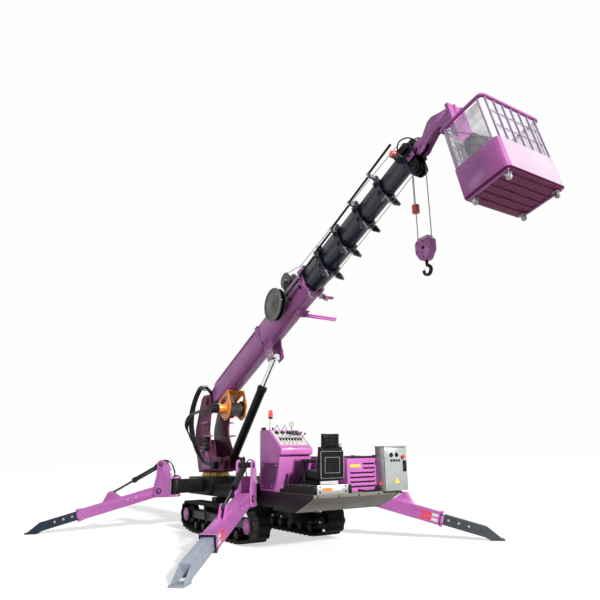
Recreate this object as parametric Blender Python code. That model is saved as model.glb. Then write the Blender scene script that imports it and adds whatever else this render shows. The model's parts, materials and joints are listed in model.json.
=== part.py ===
"""Spider crane on rubber tracks, with four swinging legs, a six-section boom, a hook and a man basket."""

from math import cos, degrees, pi, radians, sin, tan

import bmesh
import bpy
from mathutils import Matrix, Vector

# %% Clearances
GAP = 0.0003
RUN = 0.0005
CLEAR = 0.006
PIN_SIDES = 12
SHARP = radians(40)
FLAT = radians(0.2)

# %% Driving sizes of the undercarriage, in metres
# +X points to the machine's rear, +Y to its right side as seen from the rear, +Z up
SLEW_X = -3.5895
BEAM_HALF = 0.40
BEAM_FRONT = -0.46
TRACK_MID = 1.83
TRACK_GAUGE = 1.42
TRACK_WIDTH = 0.32
TRACK_LENGTH = 3.00
TRACK_HEIGHT = 0.54
TRACK_RISE = 0.05
TRACK_CLEARANCE = 0.06
DECK_BOTTOM = TRACK_HEIGHT + TRACK_CLEARANCE
DECK_TOP = DECK_BOTTOM + 0.23
BAND = 0.028
END_STEPS = 9
SHOE_HEIGHT = 0.020
SHOES = 44
ROLLERS = 6
ROLLER_RADIUS = 0.075

# %% Driving sizes of the slewing upper works
RING_SEAT = DECK_TOP + 0.11
RING_TOP = RING_SEAT + 0.09
RING_RADIUS = 0.27
RING_TEETH = 24
FLANGE_RADIUS = 0.36
FLANGE_TOP = RING_TOP + 0.06
CHEEK_INNER = 0.205
CHEEK_WALL = 0.03
PIVOT_X = -0.02
PIVOT_Z = RING_TOP + 1.47
PIVOT_PIN = 0.045
LUFF = 24.0

# %% Driving sizes of the boom
BASE_WIDTH = 0.36
BASE_HEIGHT = 0.48
BASE_REAR = 0.34
BASE_REACH = 4.18
SECTION_STEP = 0.036
SECTION_WALL = 0.010
SECTION_OUT = 0.54
SECTION_BACK = 3.05
COLLAR_LENGTH = 0.10
COLLAR_LIP = 0.022
SECTIONS = 6
ROPE_LANE_HALF = 0.10

# %% Driving sizes of the luffing cylinder
FOOT_X = 0.80
FOOT_Z = RING_TOP + 0.24
FOOT_PIN = 0.04
HEAD_ALONG = 2.56
HEAD_DROP = 0.48
# Barrel length and radius, rod radius, foot pin's radius, half widths of foot and eye, rod inside the barrel
LUFF_CYLINDER = (1.80, 0.085, 0.05, FOOT_PIN, 0.0885, 0.068, 1.15)

# %% Driving sizes of a leg
PIN_OUT = 0.30
PIN_Z = DECK_BOTTOM + 0.12
PIN_RADIUS = 0.03
SWING_PIN = 0.042
TOP_PIN_RADIUS = 0.022
TOP_PIN_OUT = 0.28
TOP_PIN_Z = PIN_Z + 0.49
BOSS_RADIUS = 0.085
BOSS_LOW = DECK_BOTTOM + 0.045
BOSS_HIGH = BOSS_LOW + 0.29
LEG_TILT = -15.5
LEG_SIZE = 0.20
LEG_WALL = 0.012
LEG_LENGTH = 1.555
SLIDE_SIZE = 0.16
FOOT_REACH = 2.33
LUG_ALONG = 0.90
LUG_RISE = 0.21
LEG_CYLINDER = (0.62, 0.045, 0.022, TOP_PIN_RADIUS, 0.10, 0.026, 0.20)

# Columns: name, swing axis behind the slew axis, its distance to the side, plan direction in degrees
LEGS = (
    ("front_left", 0.313, -0.993, 243.7),
    ("front_right", 0.313, 0.993, 116.3),
    ("rear_left", 3.10, -0.80, -44.5),
    ("rear_right", 3.10, 0.80, 44.5),
)

# %% Driving sizes of the rear body, along X from the slew axis
TAIL_FRONT = 3.75
TAIL_LOW = 4.37
TAIL_REAR = 4.83
TAIL_HALF = 0.767
TAIL_WEDGE_LOW = DECK_TOP - 0.253
TAIL_WEDGE_HIGH = DECK_TOP - 0.045
CONSOLE_LEFT = -0.74
CONSOLE_RIGHT = -0.186
CONSOLE_FRONT = 3.30
CONSOLE_TOP = DECK_TOP + 0.90
DESK_REAR = 3.87
DESK_TOP = DECK_TOP + 0.637
SEAT_MID = -0.363
SEAT_WIDTH = 0.50
SEAT_PLATFORM = DECK_TOP + 0.11
SEAT_REAR = 4.70
HOOD_LEFT = -0.095
HOOD_RIGHT = 0.70
HOOD_FRONT = 3.32
HOOD_REAR = 4.70
HOOD_TOP = DECK_TOP + 0.49
CABINET_REAR = 4.905
CABINET_LEFT = 0.43
CABINET_RIGHT = 0.86
CABINET_TOP = DECK_TOP + 0.61
CABINET_WALL = 0.012
DOOR_THICKNESS = 0.02

# %% Driving sizes of the head, hook and basket
SHEAVE_RADIUS = 0.10
SHEAVE_GROOVE = 0.08
SHEAVE_SIDE = 0.035
ROPE_SIDES = 8
ROPE_STEPS = 6
BASKET_TILT = 13.0
BASKET_DEPTH = 0.64
BASKET_WIDTH = 1.02
BASKET_HEIGHT = 1.02
BASKET_WALL = 0.40
BASKET_X = 7.84
BASKET_Z = PIVOT_Z + 1.62
ROPE_RADIUS = 0.007
HOOK_DROP = 1.02
HOOK_BLOCK = 0.29
HOOK_SHANK = 0.05

# %% Colours: red, green, blue, metallic, roughness
PAINTS = {
    "purple_paint": (0.34, 0.10, 0.31, 0.0, 0.35),
    "stage_paint": (0.015, 0.02, 0.04, 0.0, 0.25),
    "black_steel": (0.02, 0.02, 0.022, 0.0, 0.5),
    "slate_paint": (0.09, 0.12, 0.14, 0.0, 0.4),
    "grey_paint": (0.20, 0.19, 0.15, 0.0, 0.5),
    "galvanised": (0.55, 0.58, 0.58, 0.6, 0.4),
    "orange_paint": (0.85, 0.28, 0.02, 0.0, 0.4),
    "ring_gold": (0.55, 0.38, 0.06, 0.6, 0.45),
    "chrome": (0.8, 0.8, 0.82, 1.0, 0.12),
    "track_rubber": (0.012, 0.012, 0.012, 0.0, 0.8),
    "seat_vinyl": (0.015, 0.015, 0.016, 0.0, 0.6),
    "rope_steel": (0.3, 0.3, 0.3, 0.8, 0.5),
    "reel_black": (0.01, 0.01, 0.01, 0.0, 0.2),
}


def clear_scene():
    for old in list(bpy.data.objects):
        bpy.data.objects.remove(old)


def paint(name):
    made = bpy.data.materials.get(name)
    if made:
        return made
    red, green, blue, metallic, roughness = PAINTS[name]
    made = bpy.data.materials.new(name)
    made.use_nodes = True
    shader = made.node_tree.nodes["Principled BSDF"]
    shader.inputs["Base Color"].default_value = (red, green, blue, 1)
    shader.inputs["Metallic"].default_value = metallic
    shader.inputs["Roughness"].default_value = roughness
    made.diffuse_color = (red, green, blue, 1)
    return made


# %% Shapes, each a bmesh in its own frame
def prism(outline, low, high, axis="Y"):
    """A flat outline drawn out along an axis. Its points are (x, z) for Y, (x, y) for Z, (y, z) for X."""
    place = {
        "X": lambda a, b, t: (t, a, b),
        "Y": lambda a, b, t: (a, t, b),
        "Z": lambda a, b, t: (a, b, t),
    }[axis]
    shape = bmesh.new()
    near = [shape.verts.new(place(a, b, low)) for a, b in outline]
    far = [shape.verts.new(place(a, b, high)) for a, b in outline]
    shape.faces.new(near)
    shape.faces.new(reversed(far))
    for i in range(len(outline)):
        j = (i + 1) % len(outline)
        shape.faces.new((near[j], near[i], far[i], far[j]))
    bmesh.ops.recalc_face_normals(shape, faces=shape.faces)
    return shape


def block(x, y, z):
    return prism(((x[0], z[0]), (x[1], z[0]), (x[1], z[1]), (x[0], z[1])), y[0], y[1])


def turned(profile, start, direction, sides=PIN_SIDES, phase=0.0):
    """A solid of revolution. Profile points are (distance along the axis, radius), end to end."""
    start = Vector(start)
    along = Vector(direction).normalized()
    side = along.orthogonal().normalized()
    other = along.cross(side)
    shape = bmesh.new()
    rings = []
    for distance, radius in profile:
        centre = start + along * distance
        if radius == 0:
            rings.append([shape.verts.new(centre)])
            continue
        ring = []
        for i in range(sides):
            angle = 2 * pi * (i + phase) / sides
            spoke = side * cos(angle) + other * sin(angle)
            ring.append(shape.verts.new(centre + spoke * radius))
        rings.append(ring)
    for first, second in zip(rings, rings[1:]):
        for i in range(sides):
            j = (i + 1) % sides
            if len(first) == 1:
                shape.faces.new((first[0], second[i], second[j]))
            elif len(second) == 1:
                shape.faces.new((first[i], first[j], second[0]))
            else:
                shape.faces.new((first[i], first[j], second[j], second[i]))
    for ring in (rings[0], rings[-1]):
        if len(ring) > 1:
            shape.faces.new(ring)
    bmesh.ops.recalc_face_normals(shape, faces=shape.faces)
    return shape


def rod(start, end, radius, sides=PIN_SIDES):
    length = (Vector(end) - Vector(start)).length
    return turned(((0, radius), (length, radius)), start, Vector(end) - Vector(start), sides)


def cross_pin(x, z, radius, low, high, sides=PIN_SIDES):
    return rod((x, low, z), (x, high, z), radius, sides)


def rounded(points):
    """An outline whose corners are rounded, small ones in one step. Points are (a, b, corner radius)."""
    outline = []
    count = len(points)
    for i, (a, b, radius) in enumerate(points):
        here = Vector((a, b))
        before = Vector(points[i - 1][:2]) - here
        after = Vector(points[(i + 1) % count][:2]) - here
        if radius == 0:
            outline.append((a, b))
            continue
        half = before.angle(after) / 2
        steps = 1 if radius < 0.035 else max(1, round((pi - 2 * half) / radians(45)))
        reach = radius / tan(half)
        centre = here + (before.normalized() + after.normalized()).normalized() * radius / sin(half)
        first = here + before.normalized() * reach - centre
        last = here + after.normalized() * reach - centre
        swing = first.angle_signed(last)
        for k in range(steps + 1):
            turn = -swing * k / steps
            x = first.x * cos(turn) - first.y * sin(turn)
            y = first.x * sin(turn) + first.y * cos(turn)
            outline.append((centre.x + x, centre.y + y))
    return outline


def bore(start, end, radius, turn=0.0):
    """A cutter for the faceted bore that a pin of this radius turns in, half a facet round from the pin.

    The pin's frame is turned by so many degrees from the bore's.
    """
    wide = (radius + RUN) / cos(pi / PIN_SIDES)
    run = Vector(end) - Vector(start)
    phase = 0.5 + turn * PIN_SIDES / 360
    return turned(((0, wide), (run.length, wide)), start, run, PIN_SIDES, phase)


def cross_bore(x, z, radius, low, high, tilt=0.0):
    return bore((x, low, z), (x, high, z), radius, tilt)


def merged(shapes):
    """Several shapes in one bmesh, for a cutter or for pieces that stay apart until they are fused."""
    whole = bmesh.new()
    for shape in shapes:
        piece = bpy.data.meshes.new("piece")
        shape.to_mesh(piece)
        whole.from_mesh(piece)
        shape.free()
        bpy.data.meshes.remove(piece)
    return whole


def frame_at(x, y, z, turn=0.0, tilt=0.0):
    """A frame at a point, turned about +Z and then tilted so that its +X end rises, in degrees."""
    place = Matrix.Translation((x, y, z))
    return place @ Matrix.Rotation(radians(turn), 4, "Z") @ Matrix.Rotation(radians(-tilt), 4, "Y")


def add_object(name, shape, frame):
    mesh = bpy.data.meshes.new(name)
    shape.to_mesh(mesh)
    shape.free()
    made = bpy.data.objects.new(name, mesh)
    bpy.context.scene.collection.objects.link(made)
    made.matrix_world = frame
    return made


def fuse(name, material, pieces, cuts=(), frame=None):
    """One named piece: the first shape, with the others fused to it and the cuts taken out.

    A shape may be a bmesh in the piece's own frame, or a pair of a bmesh and another frame.
    """
    frame = frame or Matrix.Identity(4)
    made = None
    for kind, shapes in (("UNION", pieces), ("DIFFERENCE", cuts)):
        for number, shape in enumerate(shapes):
            place = frame
            if isinstance(shape, tuple):
                shape, place = shape
            if made is None:
                made = add_object(name, shape, place)
                made.data.materials.append(paint(material))
                continue
            helper = add_object(f"helper_{name}_{kind.lower()}_{number}", shape, place)
            helper.hide_render = True
            helper.display_type = "WIRE"
            step = made.modifiers.new(f"{kind.lower()} {number}", "BOOLEAN")
            step.operation = kind
            step.solver = "EXACT"
            step.object = helper
    settle(made)
    return made


def settle(made):
    """Applies a piece's Booleans, removes their helpers and shades its round faces smooth."""
    graph = bpy.context.evaluated_depsgraph_get()
    solid = bpy.data.meshes.new_from_object(made.evaluated_get(graph))
    helpers = [step.object for step in made.modifiers]
    made.modifiers.clear()
    made.data = solid
    work = bmesh.new()
    work.from_mesh(solid)
    bmesh.ops.dissolve_limit(work, angle_limit=FLAT, verts=work.verts, edges=work.edges)
    work.to_mesh(solid)
    work.free()
    for helper in helpers:
        bpy.data.objects.remove(helper)
    for face in solid.polygons:
        face.use_smooth = True
    solid.set_sharp_from_angle(angle=SHARP)


# %% Undercarriage
def along(distance):
    """A place along the machine, from its distance behind the slew axis."""
    return SLEW_X + distance


def make_chassis():
    rear = along(TAIL_FRONT - GAP)
    deck = (DECK_BOTTOM, DECK_TOP)
    pieces = [block((along(BEAM_FRONT), rear), (-BEAM_HALF, BEAM_HALF), deck)]
    seat = rounded(
        (
            (along(BEAM_FRONT - 0.04), -BEAM_HALF - 0.05, 0.14),
            (along(0.72), -BEAM_HALF - 0.05, 0.02),
            (along(0.72), BEAM_HALF + 0.05, 0.02),
            (along(BEAM_FRONT - 0.04), BEAM_HALF + 0.05, 0.14),
        )
    )
    pieces.append(prism(seat, DECK_BOTTOM + 0.02, RING_SEAT, "Z"))
    pieces.append(block((along(CONSOLE_FRONT - 0.04), rear), (CONSOLE_LEFT, -0.2), deck))
    pieces.append(block((along(HOOD_FRONT), rear), (0.2, HOOD_RIGHT), deck))
    bores = []
    for _, pivot, side, turn in LEGS:
        x = along(pivot)
        sign = 1 if side > 0 else -1
        inner = sign * 0.3
        edge = side - sign * 0.02
        y = (min(inner, edge), max(inner, edge))
        pieces.append(block((x - 0.075, x + 0.075), y, (BOSS_LOW + 0.02, BOSS_HIGH - 0.01)))
        pieces.append(rod((x, side, BOSS_LOW), (x, side, BOSS_HIGH), BOSS_RADIUS, PIN_SIDES))
        bores.append(bore((x, side, BOSS_LOW - 0.1), (x, side, BOSS_HIGH + 0.1), SWING_PIN, turn))
    return fuse("chassis_frame", "black_steel", pieces, [merged(bores)])


def loop_points(inset, shoes=0, height=0.0):
    """The track's outline, seen from the side: flat below and above, round at both ends, with its shoes."""
    radius = (TRACK_HEIGHT - TRACK_RISE) / 2 - SHOE_HEIGHT - inset
    reach = TRACK_LENGTH / 2 - (TRACK_HEIGHT - TRACK_RISE) / 2
    flat = reach - 0.32
    axle = TRACK_HEIGHT - (TRACK_HEIGHT - TRACK_RISE) / 2
    bottom = SHOE_HEIGHT + inset
    top = axle + radius
    dip = radians(10)
    path = [(-flat, bottom), (flat, bottom)]
    steps = END_STEPS
    for k in range(steps + 1):
        angle = -pi / 2 + dip + (pi - dip) * k / steps
        path.append((reach + radius * cos(angle), axle + radius * sin(angle)))
    for k in range(steps + 1):
        angle = pi / 2 + (pi - dip) * k / steps
        path.append((-reach + radius * cos(angle), axle + radius * sin(angle)))
    if not shoes:
        return path
    return shod(path, shoes, height)


def shod(path, shoes, height):
    """The same closed path with a row of raised shoes round it."""
    points = [Vector(p) for p in path]
    lengths = [(points[(i + 1) % len(points)] - points[i]).length for i in range(len(points))]
    total = sum(lengths)
    pitch = total / shoes
    marks = []
    for i in range(shoes):
        marks += [(i * pitch, 0.0), (i * pitch + pitch * 0.12, height)]
        marks += [(i * pitch + pitch * 0.48, height), (i * pitch + pitch * 0.60, 0.0)]
    distance = 0.0
    for i, length in enumerate(lengths):
        place = distance % pitch / pitch
        if 0.65 < place < 0.95:
            marks.append((distance, 0.0))
        distance += length
    marks.sort()
    outline = []
    for place, rise in marks:
        distance = place
        i = 0
        while distance > lengths[i] and i < len(lengths) - 1:
            distance -= lengths[i]
            i += 1
        here = points[i]
        ahead = (points[(i + 1) % len(points)] - here).normalized()
        spot = here + ahead * distance
        outward = Vector((ahead.y, -ahead.x))
        outline.append(tuple(spot + outward * rise))
    return outline


def make_track(side, name):
    y = side * TRACK_GAUGE / 2
    middle = along(TRACK_MID)
    outer = [(middle + a, b) for a, b in loop_points(0.0, SHOES, SHOE_HEIGHT)]
    inner = [(middle + a, b) for a, b in loop_points(BAND)]
    half = TRACK_WIDTH / 2
    belt = prism(outer, y - half, y + half)
    hole = prism(inner, y - half - 0.01, y + half + 0.01)
    return fuse(f"track_{name}", "track_rubber", [belt], [hole])


def make_track_frame(side, name):
    """Side frame with its drive sprocket, idler and rollers, seated in the track."""
    y = side * TRACK_GAUGE / 2
    middle = along(TRACK_MID)
    half = TRACK_WIDTH / 2
    low = SHOE_HEIGHT + BAND
    wheel = ((TRACK_HEIGHT - TRACK_RISE) / 2 - low) * cos(radians(85 / END_STEPS)) - GAP
    reach = TRACK_LENGTH / 2 - (TRACK_HEIGHT - TRACK_RISE) / 2
    axle = TRACK_HEIGHT - (TRACK_HEIGHT - TRACK_RISE) / 2
    beam = [
        block((middle - reach, middle + reach), (y - 0.07, y + 0.07), (axle - 0.06, axle + 0.09)),
    ]
    for end in (-1, 1):
        x = middle + end * reach
        rim = ((0, wheel - 0.04), (0.02, wheel), (0.12, wheel), (0.14, wheel - 0.04))
        beam.append(turned(rim, (x, y - 0.07, axle), (0, 1, 0), 20))
        beam.append(cross_pin(x, axle, 0.07, y - half + 0.02, y + half - 0.02))
    span = reach - 0.42
    for k in range(ROLLERS):
        x = middle - span + 2 * span * k / (ROLLERS - 1)
        beam.append(cross_pin(x, low + GAP + ROLLER_RADIUS, ROLLER_RADIUS, y - 0.12, y + 0.12, 8))
        beam.append(block((x - 0.03, x + 0.03), (y - 0.06, y + 0.06), (low + 0.05, axle)))
    top = TRACK_HEIGHT - low - GAP
    for x in (middle - 0.5, middle + 0.5):
        beam.append(cross_pin(x, top - 0.045, 0.045, y - 0.1, y + 0.1, 8))
        beam.append(block((x - 0.025, x + 0.025), (y - 0.05, y + 0.05), (axle, top - 0.03)))
    inner = side * (BEAM_HALF + GAP)
    for x in (middle - 0.75, middle + 0.75):
        span_y = sorted((inner, y))
        beam.append(block((x - 0.11, x + 0.11), span_y, (axle - 0.07, axle + 0.06)))
        post = sorted((inner - side * 0.12, inner + side * 0.11))
        beam.append(block((x - 0.11, x + 0.11), post, (axle - 0.07, DECK_BOTTOM - GAP)))
    return fuse(f"track_frame_{name}", "black_steel", beam)


def make_slew_ring():
    teeth = []
    for i in range(RING_TEETH):
        for step, radius in ((0.0, 0.0), (0.2, 0.016), (0.5, 0.016), (0.7, 0.0)):
            angle = 2 * pi * (i + step) / RING_TEETH
            reach = RING_RADIUS + radius
            teeth.append((along(0) + reach * cos(angle), reach * sin(angle)))
    gear = prism(teeth, RING_SEAT + GAP, RING_TOP - 0.03, "Z")
    race = rod((along(0), 0, RING_SEAT + 0.02), (along(0), 0, RING_TOP - RUN), RING_RADIUS, RING_TEETH)
    return fuse("slew_ring", "ring_gold", [gear, race])


# %% Legs
def leg_frames(pivot, side, turn):
    """Frames at a leg's swing axis, on the ground, and at its hinge pin along the sloping leg."""
    swing = frame_at(along(pivot), side, 0, turn)
    hinge = swing @ frame_at(PIN_OUT, 0, PIN_Z, 0, LEG_TILT)
    return swing, hinge


def make_swing_bracket(name, frame):
    cheek_in = LEG_SIZE / 2 + CLEAR
    cheek_out = cheek_in + 0.022
    top_reach = TOP_PIN_OUT
    outline = rounded(
        (
            (0.10, DECK_BOTTOM, 0.0),
            (PIN_OUT + 0.10, DECK_BOTTOM, 0.06),
            (PIN_OUT + 0.10, PIN_Z + 0.12, 0.04),
            (top_reach + 0.08, TOP_PIN_Z - 0.21, 0.10),
            (top_reach + 0.08, TOP_PIN_Z + 0.08, 0.07),
            (top_reach - 0.08, TOP_PIN_Z + 0.08, 0.07),
            (0.10, TOP_PIN_Z - 0.10, 0.05),
        )
    )
    pieces = [block((0.10, 0.135), (-cheek_out, cheek_out), (DECK_BOTTOM, TOP_PIN_Z - 0.18))]
    for sign in (-1, 1):
        pieces.append(prism(outline, *sorted((sign * cheek_in, sign * cheek_out))))
    ear = rounded(
        (
            (-0.10, -0.10, 0.09),
            (0.12, -cheek_out, 0.0),
            (0.12, cheek_out, 0.0),
            (-0.10, 0.10, 0.09),
        )
    )
    pieces.append(prism(ear, BOSS_LOW - RUN - 0.04, BOSS_LOW - RUN, "Z"))
    pieces.append(prism(ear, BOSS_HIGH + RUN, BOSS_HIGH + RUN + 0.04, "Z"))
    pieces.append(rod((0, 0, BOSS_LOW - 0.02), (0, 0, BOSS_HIGH + 0.07), SWING_PIN, PIN_SIDES))
    pin_half = cheek_out + 0.018
    pieces.append(cross_pin(PIN_OUT, PIN_Z, PIN_RADIUS, -pin_half, pin_half))
    pieces.append(cross_pin(top_reach, TOP_PIN_Z, TOP_PIN_RADIUS, -pin_half, pin_half))
    return fuse(f"{name}_swing_bracket", "purple_paint", pieces, (), frame)


def make_leg(name, frame):
    half = LEG_SIZE / 2
    hollow = half - LEG_WALL
    slide = SLIDE_SIZE / 2
    collar = (-half - 0.014, half + 0.014)
    loose = (-slide - RUN, slide + RUN)
    pieces = [
        block((0.0, LEG_LENGTH), (-half, half), (-half, half)),
        cross_pin(0, 0, 0.085, -half, half, 16),
        block((LEG_LENGTH - 0.05, LEG_LENGTH), collar, collar),
    ]
    lug = rounded(
        (
            (LUG_ALONG - 0.18, half - 0.01, 0.0),
            (LUG_ALONG + 0.18, half - 0.01, 0.0),
            (LUG_ALONG + 0.035, LUG_RISE + 0.045, 0.03),
            (LUG_ALONG - 0.035, LUG_RISE + 0.045, 0.03),
        )
    )
    for sign in (-1, 1):
        pieces.append(prism(lug, *sorted((sign * 0.032, sign * 0.048))))
        pieces.append(cross_pin(LUG_ALONG, LUG_RISE, 0.026, *sorted((sign * 0.032, sign * 0.056))))
    cuts = [
        cross_bore(0, 0, PIN_RADIUS, -half - 0.01, half + 0.01, LEG_TILT),
        block((0.36, LEG_LENGTH - 0.06), (-hollow, hollow), (-hollow, hollow)),
        block((LEG_LENGTH - 0.1, LEG_LENGTH + 0.01), loose, loose),
        prism(((-0.12, -half - 0.01), (0.06, -half - 0.01), (-0.12, -0.02)), -half - 0.01, half + 0.01),
        prism(((-0.12, half + 0.01), (0.06, half + 0.01), (-0.12, 0.02)), -half - 0.01, half + 0.01),
    ]
    return fuse(f"{name}_leg", "purple_paint", pieces, cuts, frame)


def make_leg_slide(name, frame):
    """The leg's sliding part, with its open foot."""
    half = SLIDE_SIZE / 2
    start = 0.95
    end = FOOT_REACH - 0.09
    level = frame @ frame_at(0, 0, 0, 0, -LEG_TILT)
    reach = FOOT_REACH
    drop = PIN_Z
    pieces = [block((start, end), (-half, half), (-half, half))]
    near = end * cos(radians(LEG_TILT))
    fall = end * sin(radians(LEG_TILT))
    cheek = (
        (near - 0.14, fall + 0.07),
        (near + 0.02, fall + 0.072),
        (reach + 0.07, -drop + 0.01),
        (reach - 0.13, -drop + 0.01),
        (near - 0.12, fall - 0.03),
    )
    for sign in (-1, 1):
        span = sorted((sign * half, sign * (half - 0.014)))
        pieces.append((prism(cheek, *span), level))
    sole = block((reach - 0.13, reach + 0.09), (-half - 0.01, half + 0.01), (-drop, -drop + 0.022))
    pieces.append((sole, level))
    hole = block((start - 0.01, end - 0.05), (-half + 0.012, half - 0.012), (-half + 0.012, half - 0.012))
    return fuse(f"{name}_leg_slide", "slate_paint", pieces, [hole], frame)


def cylinder_frame(base, foot, eye):
    """A frame at a cylinder's foot pin whose +X axis points at its rod's eye, with its length and its tilt.

    Foot and eye are (x, z) in the base frame.
    """
    run = Vector(eye) - Vector(foot)
    tilt = degrees(run.angle_signed(Vector((1, 0))))
    return base @ frame_at(foot[0], 0, foot[1], 0, tilt), run.length, tilt


def make_cylinder(name, base, foot, eye, sizes):
    """A barrel with its foot eye and gland, and the rod with its own eye."""
    frame, length, tilt = cylinder_frame(base, foot, eye)
    barrel, radius, rod_radius, foot_pin, foot_half, eye_half, rod_inside = sizes
    foot_eye = foot_pin + 0.022
    tube = (
        (foot_eye * 0.5, radius * 0.6),
        (foot_eye * 1.2, radius),
        (barrel - 0.001, radius),
        (barrel, radius - 0.006),
    )
    gland = ((barrel - 0.07, radius + 0.008), (barrel, radius + 0.008))
    body = [
        turned(tube, (0, 0, 0), (1, 0, 0)),
        cross_pin(0, 0, foot_eye, -foot_half, foot_half),
        turned(gland, (0, 0, 0), (1, 0, 0)),
    ]
    cavity = ((foot_eye * 1.5, rod_radius + CLEAR), (barrel - 0.06, rod_radius + CLEAR))
    mouth = ((barrel - 0.08, rod_radius + RUN), (barrel + 0.01, rod_radius + RUN))
    cuts = [
        cross_bore(0, 0, foot_pin, -foot_half - 0.01, foot_half + 0.01, tilt),
        turned(cavity, (0, 0, 0), (1, 0, 0)),
        turned(mouth, (0, 0, 0), (1, 0, 0)),
    ]
    fuse(f"{name}_cylinder", "black_steel", body, cuts, frame)
    ram = [
        rod((barrel - rod_inside, 0, 0), (length, 0, 0), rod_radius),
        cross_pin(length, 0, rod_radius + 0.020, -eye_half, eye_half),
    ]
    rod_piece = fuse(f"{name}_rod", "chrome", ram, (), frame)
    move_origin(rod_piece, frame @ Vector((length, 0, 0)))


def move_origin(made, point):
    """Moves a piece's origin to a point, and leaves its shape where it is."""
    shift = made.matrix_world.inverted() @ Vector(point)
    made.data.transform(Matrix.Translation(-shift))
    made.matrix_world = made.matrix_world @ Matrix.Translation(shift)


def make_legs():
    for name, pivot, side, turn in LEGS:
        swing, hinge = leg_frames(pivot, side, turn)
        make_swing_bracket(name, swing)
        make_leg(name, hinge)
        make_leg_slide(name, hinge)
        eye = swing.inverted() @ hinge @ Vector((LUG_ALONG, 0, LUG_RISE))
        make_cylinder(name + "_leg", swing, (TOP_PIN_OUT, TOP_PIN_Z), (eye.x, eye.z), LEG_CYLINDER)


# %% Upper works
def make_turntable():
    inner = CHEEK_INNER
    outer = CHEEK_INNER + CHEEK_WALL
    lean = rounded(
        (
            (along(-0.38), RING_TOP + 0.03, 0.0),
            (along(0.86), RING_TOP + 0.03, 0.04),
            (along(0.90), FOOT_Z + 0.03, 0.05),
            (along(0.42), FOOT_Z + 0.07, 0.2),
            (along(0.10), PIVOT_Z - 0.70, 0.25),
            (along(0.20), PIVOT_Z - 0.06, 0.1),
            (along(0.12), PIVOT_Z + 0.13, 0.08),
            (along(-0.30), PIVOT_Z + 0.13, 0.12),
            (along(-0.62), PIVOT_Z - 0.60, 0.2),
            (along(-0.60), RING_TOP + 0.59, 0.1),
        )
    )
    web = (
        (along(-0.38), RING_TOP + 0.05),
        (along(-0.34), RING_TOP + 0.05),
        (along(-0.54), RING_TOP + 0.67),
        (along(-0.58), RING_TOP + 0.67),
    )
    pieces = [
        rod((along(0), 0, RING_TOP), (along(0), 0, FLANGE_TOP), FLANGE_RADIUS, 24),
        block((along(-0.38), along(0.86)), (-outer, outer), (RING_TOP + 0.03, RING_TOP + 0.07)),
        prism(web, -outer, outer),
    ]
    for sign in (-1, 1):
        pieces.append(prism(lean, *sorted((sign * inner, sign * outer))))
        pieces.append(prism(foot_lug(), *sorted((sign * 0.095, sign * 0.125))))
    pieces.append(cross_pin(along(PIVOT_X), PIVOT_Z, PIVOT_PIN, -outer - 0.03, outer + 0.03))
    pieces.append(cross_pin(along(FOOT_X), FOOT_Z, FOOT_PIN, -inner - 0.01, inner + 0.01))
    made = fuse("turntable", "purple_paint", pieces)
    move_origin(made, (along(0), 0, RING_TOP))


def foot_lug():
    return rounded(
        (
            (along(FOOT_X - 0.14), RING_TOP + 0.06, 0.0),
            (along(FOOT_X + 0.06), RING_TOP + 0.06, 0.0),
            (along(FOOT_X + 0.075), FOOT_Z + 0.075, 0.06),
            (along(FOOT_X - 0.075), FOOT_Z + 0.075, 0.06),
        )
    )


def section_size(number):
    """Width and height of a boom section, the base being number 1."""
    step = SECTION_STEP * (number - 1)
    return BASE_WIDTH - step, BASE_HEIGHT - step


def section_outline(width, height):
    """A boom section: flat sides and top, with the bottom folded in facets."""
    half = width / 2
    low = -height / 2
    return [
        (-half, height / 2 - 0.02),
        (-half + 0.02, height / 2),
        (half - 0.02, height / 2),
        (half, height / 2 - 0.02),
        (half, low + height * 0.22),
        (half * 0.62, low + height * 0.05),
        (half * 0.25, low),
        (-half * 0.25, low),
        (-half * 0.62, low + height * 0.05),
        (-half, low + height * 0.22),
    ]


def section_reach(number):
    return BASE_REACH + SECTION_OUT * (number - 1)


def make_section(number, frame):
    """One section of the boom with its collar, open at the front for the next one."""
    width, height = section_size(number)
    end = section_reach(number)
    start = BASE_REAR if number == 1 else end - SECTION_BACK - SECTION_OUT + 0.04 * (number - 2)
    lip = COLLAR_LIP
    pieces = [
        prism(section_outline(width, height), start, end, "X"),
        prism(section_outline(width + 2 * lip, height + 2 * lip), end - COLLAR_LENGTH, end, "X"),
    ]
    cuts = []
    if number < SECTIONS:
        next_width, next_height = section_size(number + 1)
        hollow = section_outline(width - 2 * SECTION_WALL, height - 2 * SECTION_WALL)
        mouth = section_outline(next_width + 2 * RUN, next_height + 2 * RUN)
        back = start - 0.01 if number > 1 else start + 0.03
        cuts.append(prism(hollow, back, end - 0.12, "X"))
        cuts.append(prism(mouth, end - 0.13, end + 0.01, "X"))
    if number < SECTIONS:
        pieces += stage_ear(height, end)
    if 1 < number < SECTIONS:
        pieces += stage_brackets(width, height, end)
    if number == 1:
        pieces += base_fittings(width, height)
        cuts.append(cross_bore(0, 0, PIVOT_PIN, -0.3, 0.3, LUFF))
    name = "boom_base" if number == 1 else f"boom_stage_{number}"
    colour = "purple_paint" if number == 1 else "stage_paint"
    made = fuse(name, colour, pieces, cuts, frame)
    if number > 1:
        move_origin(made, frame @ Vector((end, 0, 0)))
    return made


def stage_brackets(width, height, end):
    """The two cheeks of the rope guide under a stage's collar, open between them for the hoist rope."""
    low = -height / 2 - COLLAR_LIP
    wedge = (
        (end - 0.02, low + 0.10),
        (end - 0.10, low + 0.10),
        (end - 0.08, low - 0.04),
        (end + 0.00, low - 0.14),
        (end + 0.03, low - 0.14),
    )
    return [prism(wedge, *sorted((sign * ROPE_LANE_HALF, sign * width * 0.46))) for sign in (-1, 1)]


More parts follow.
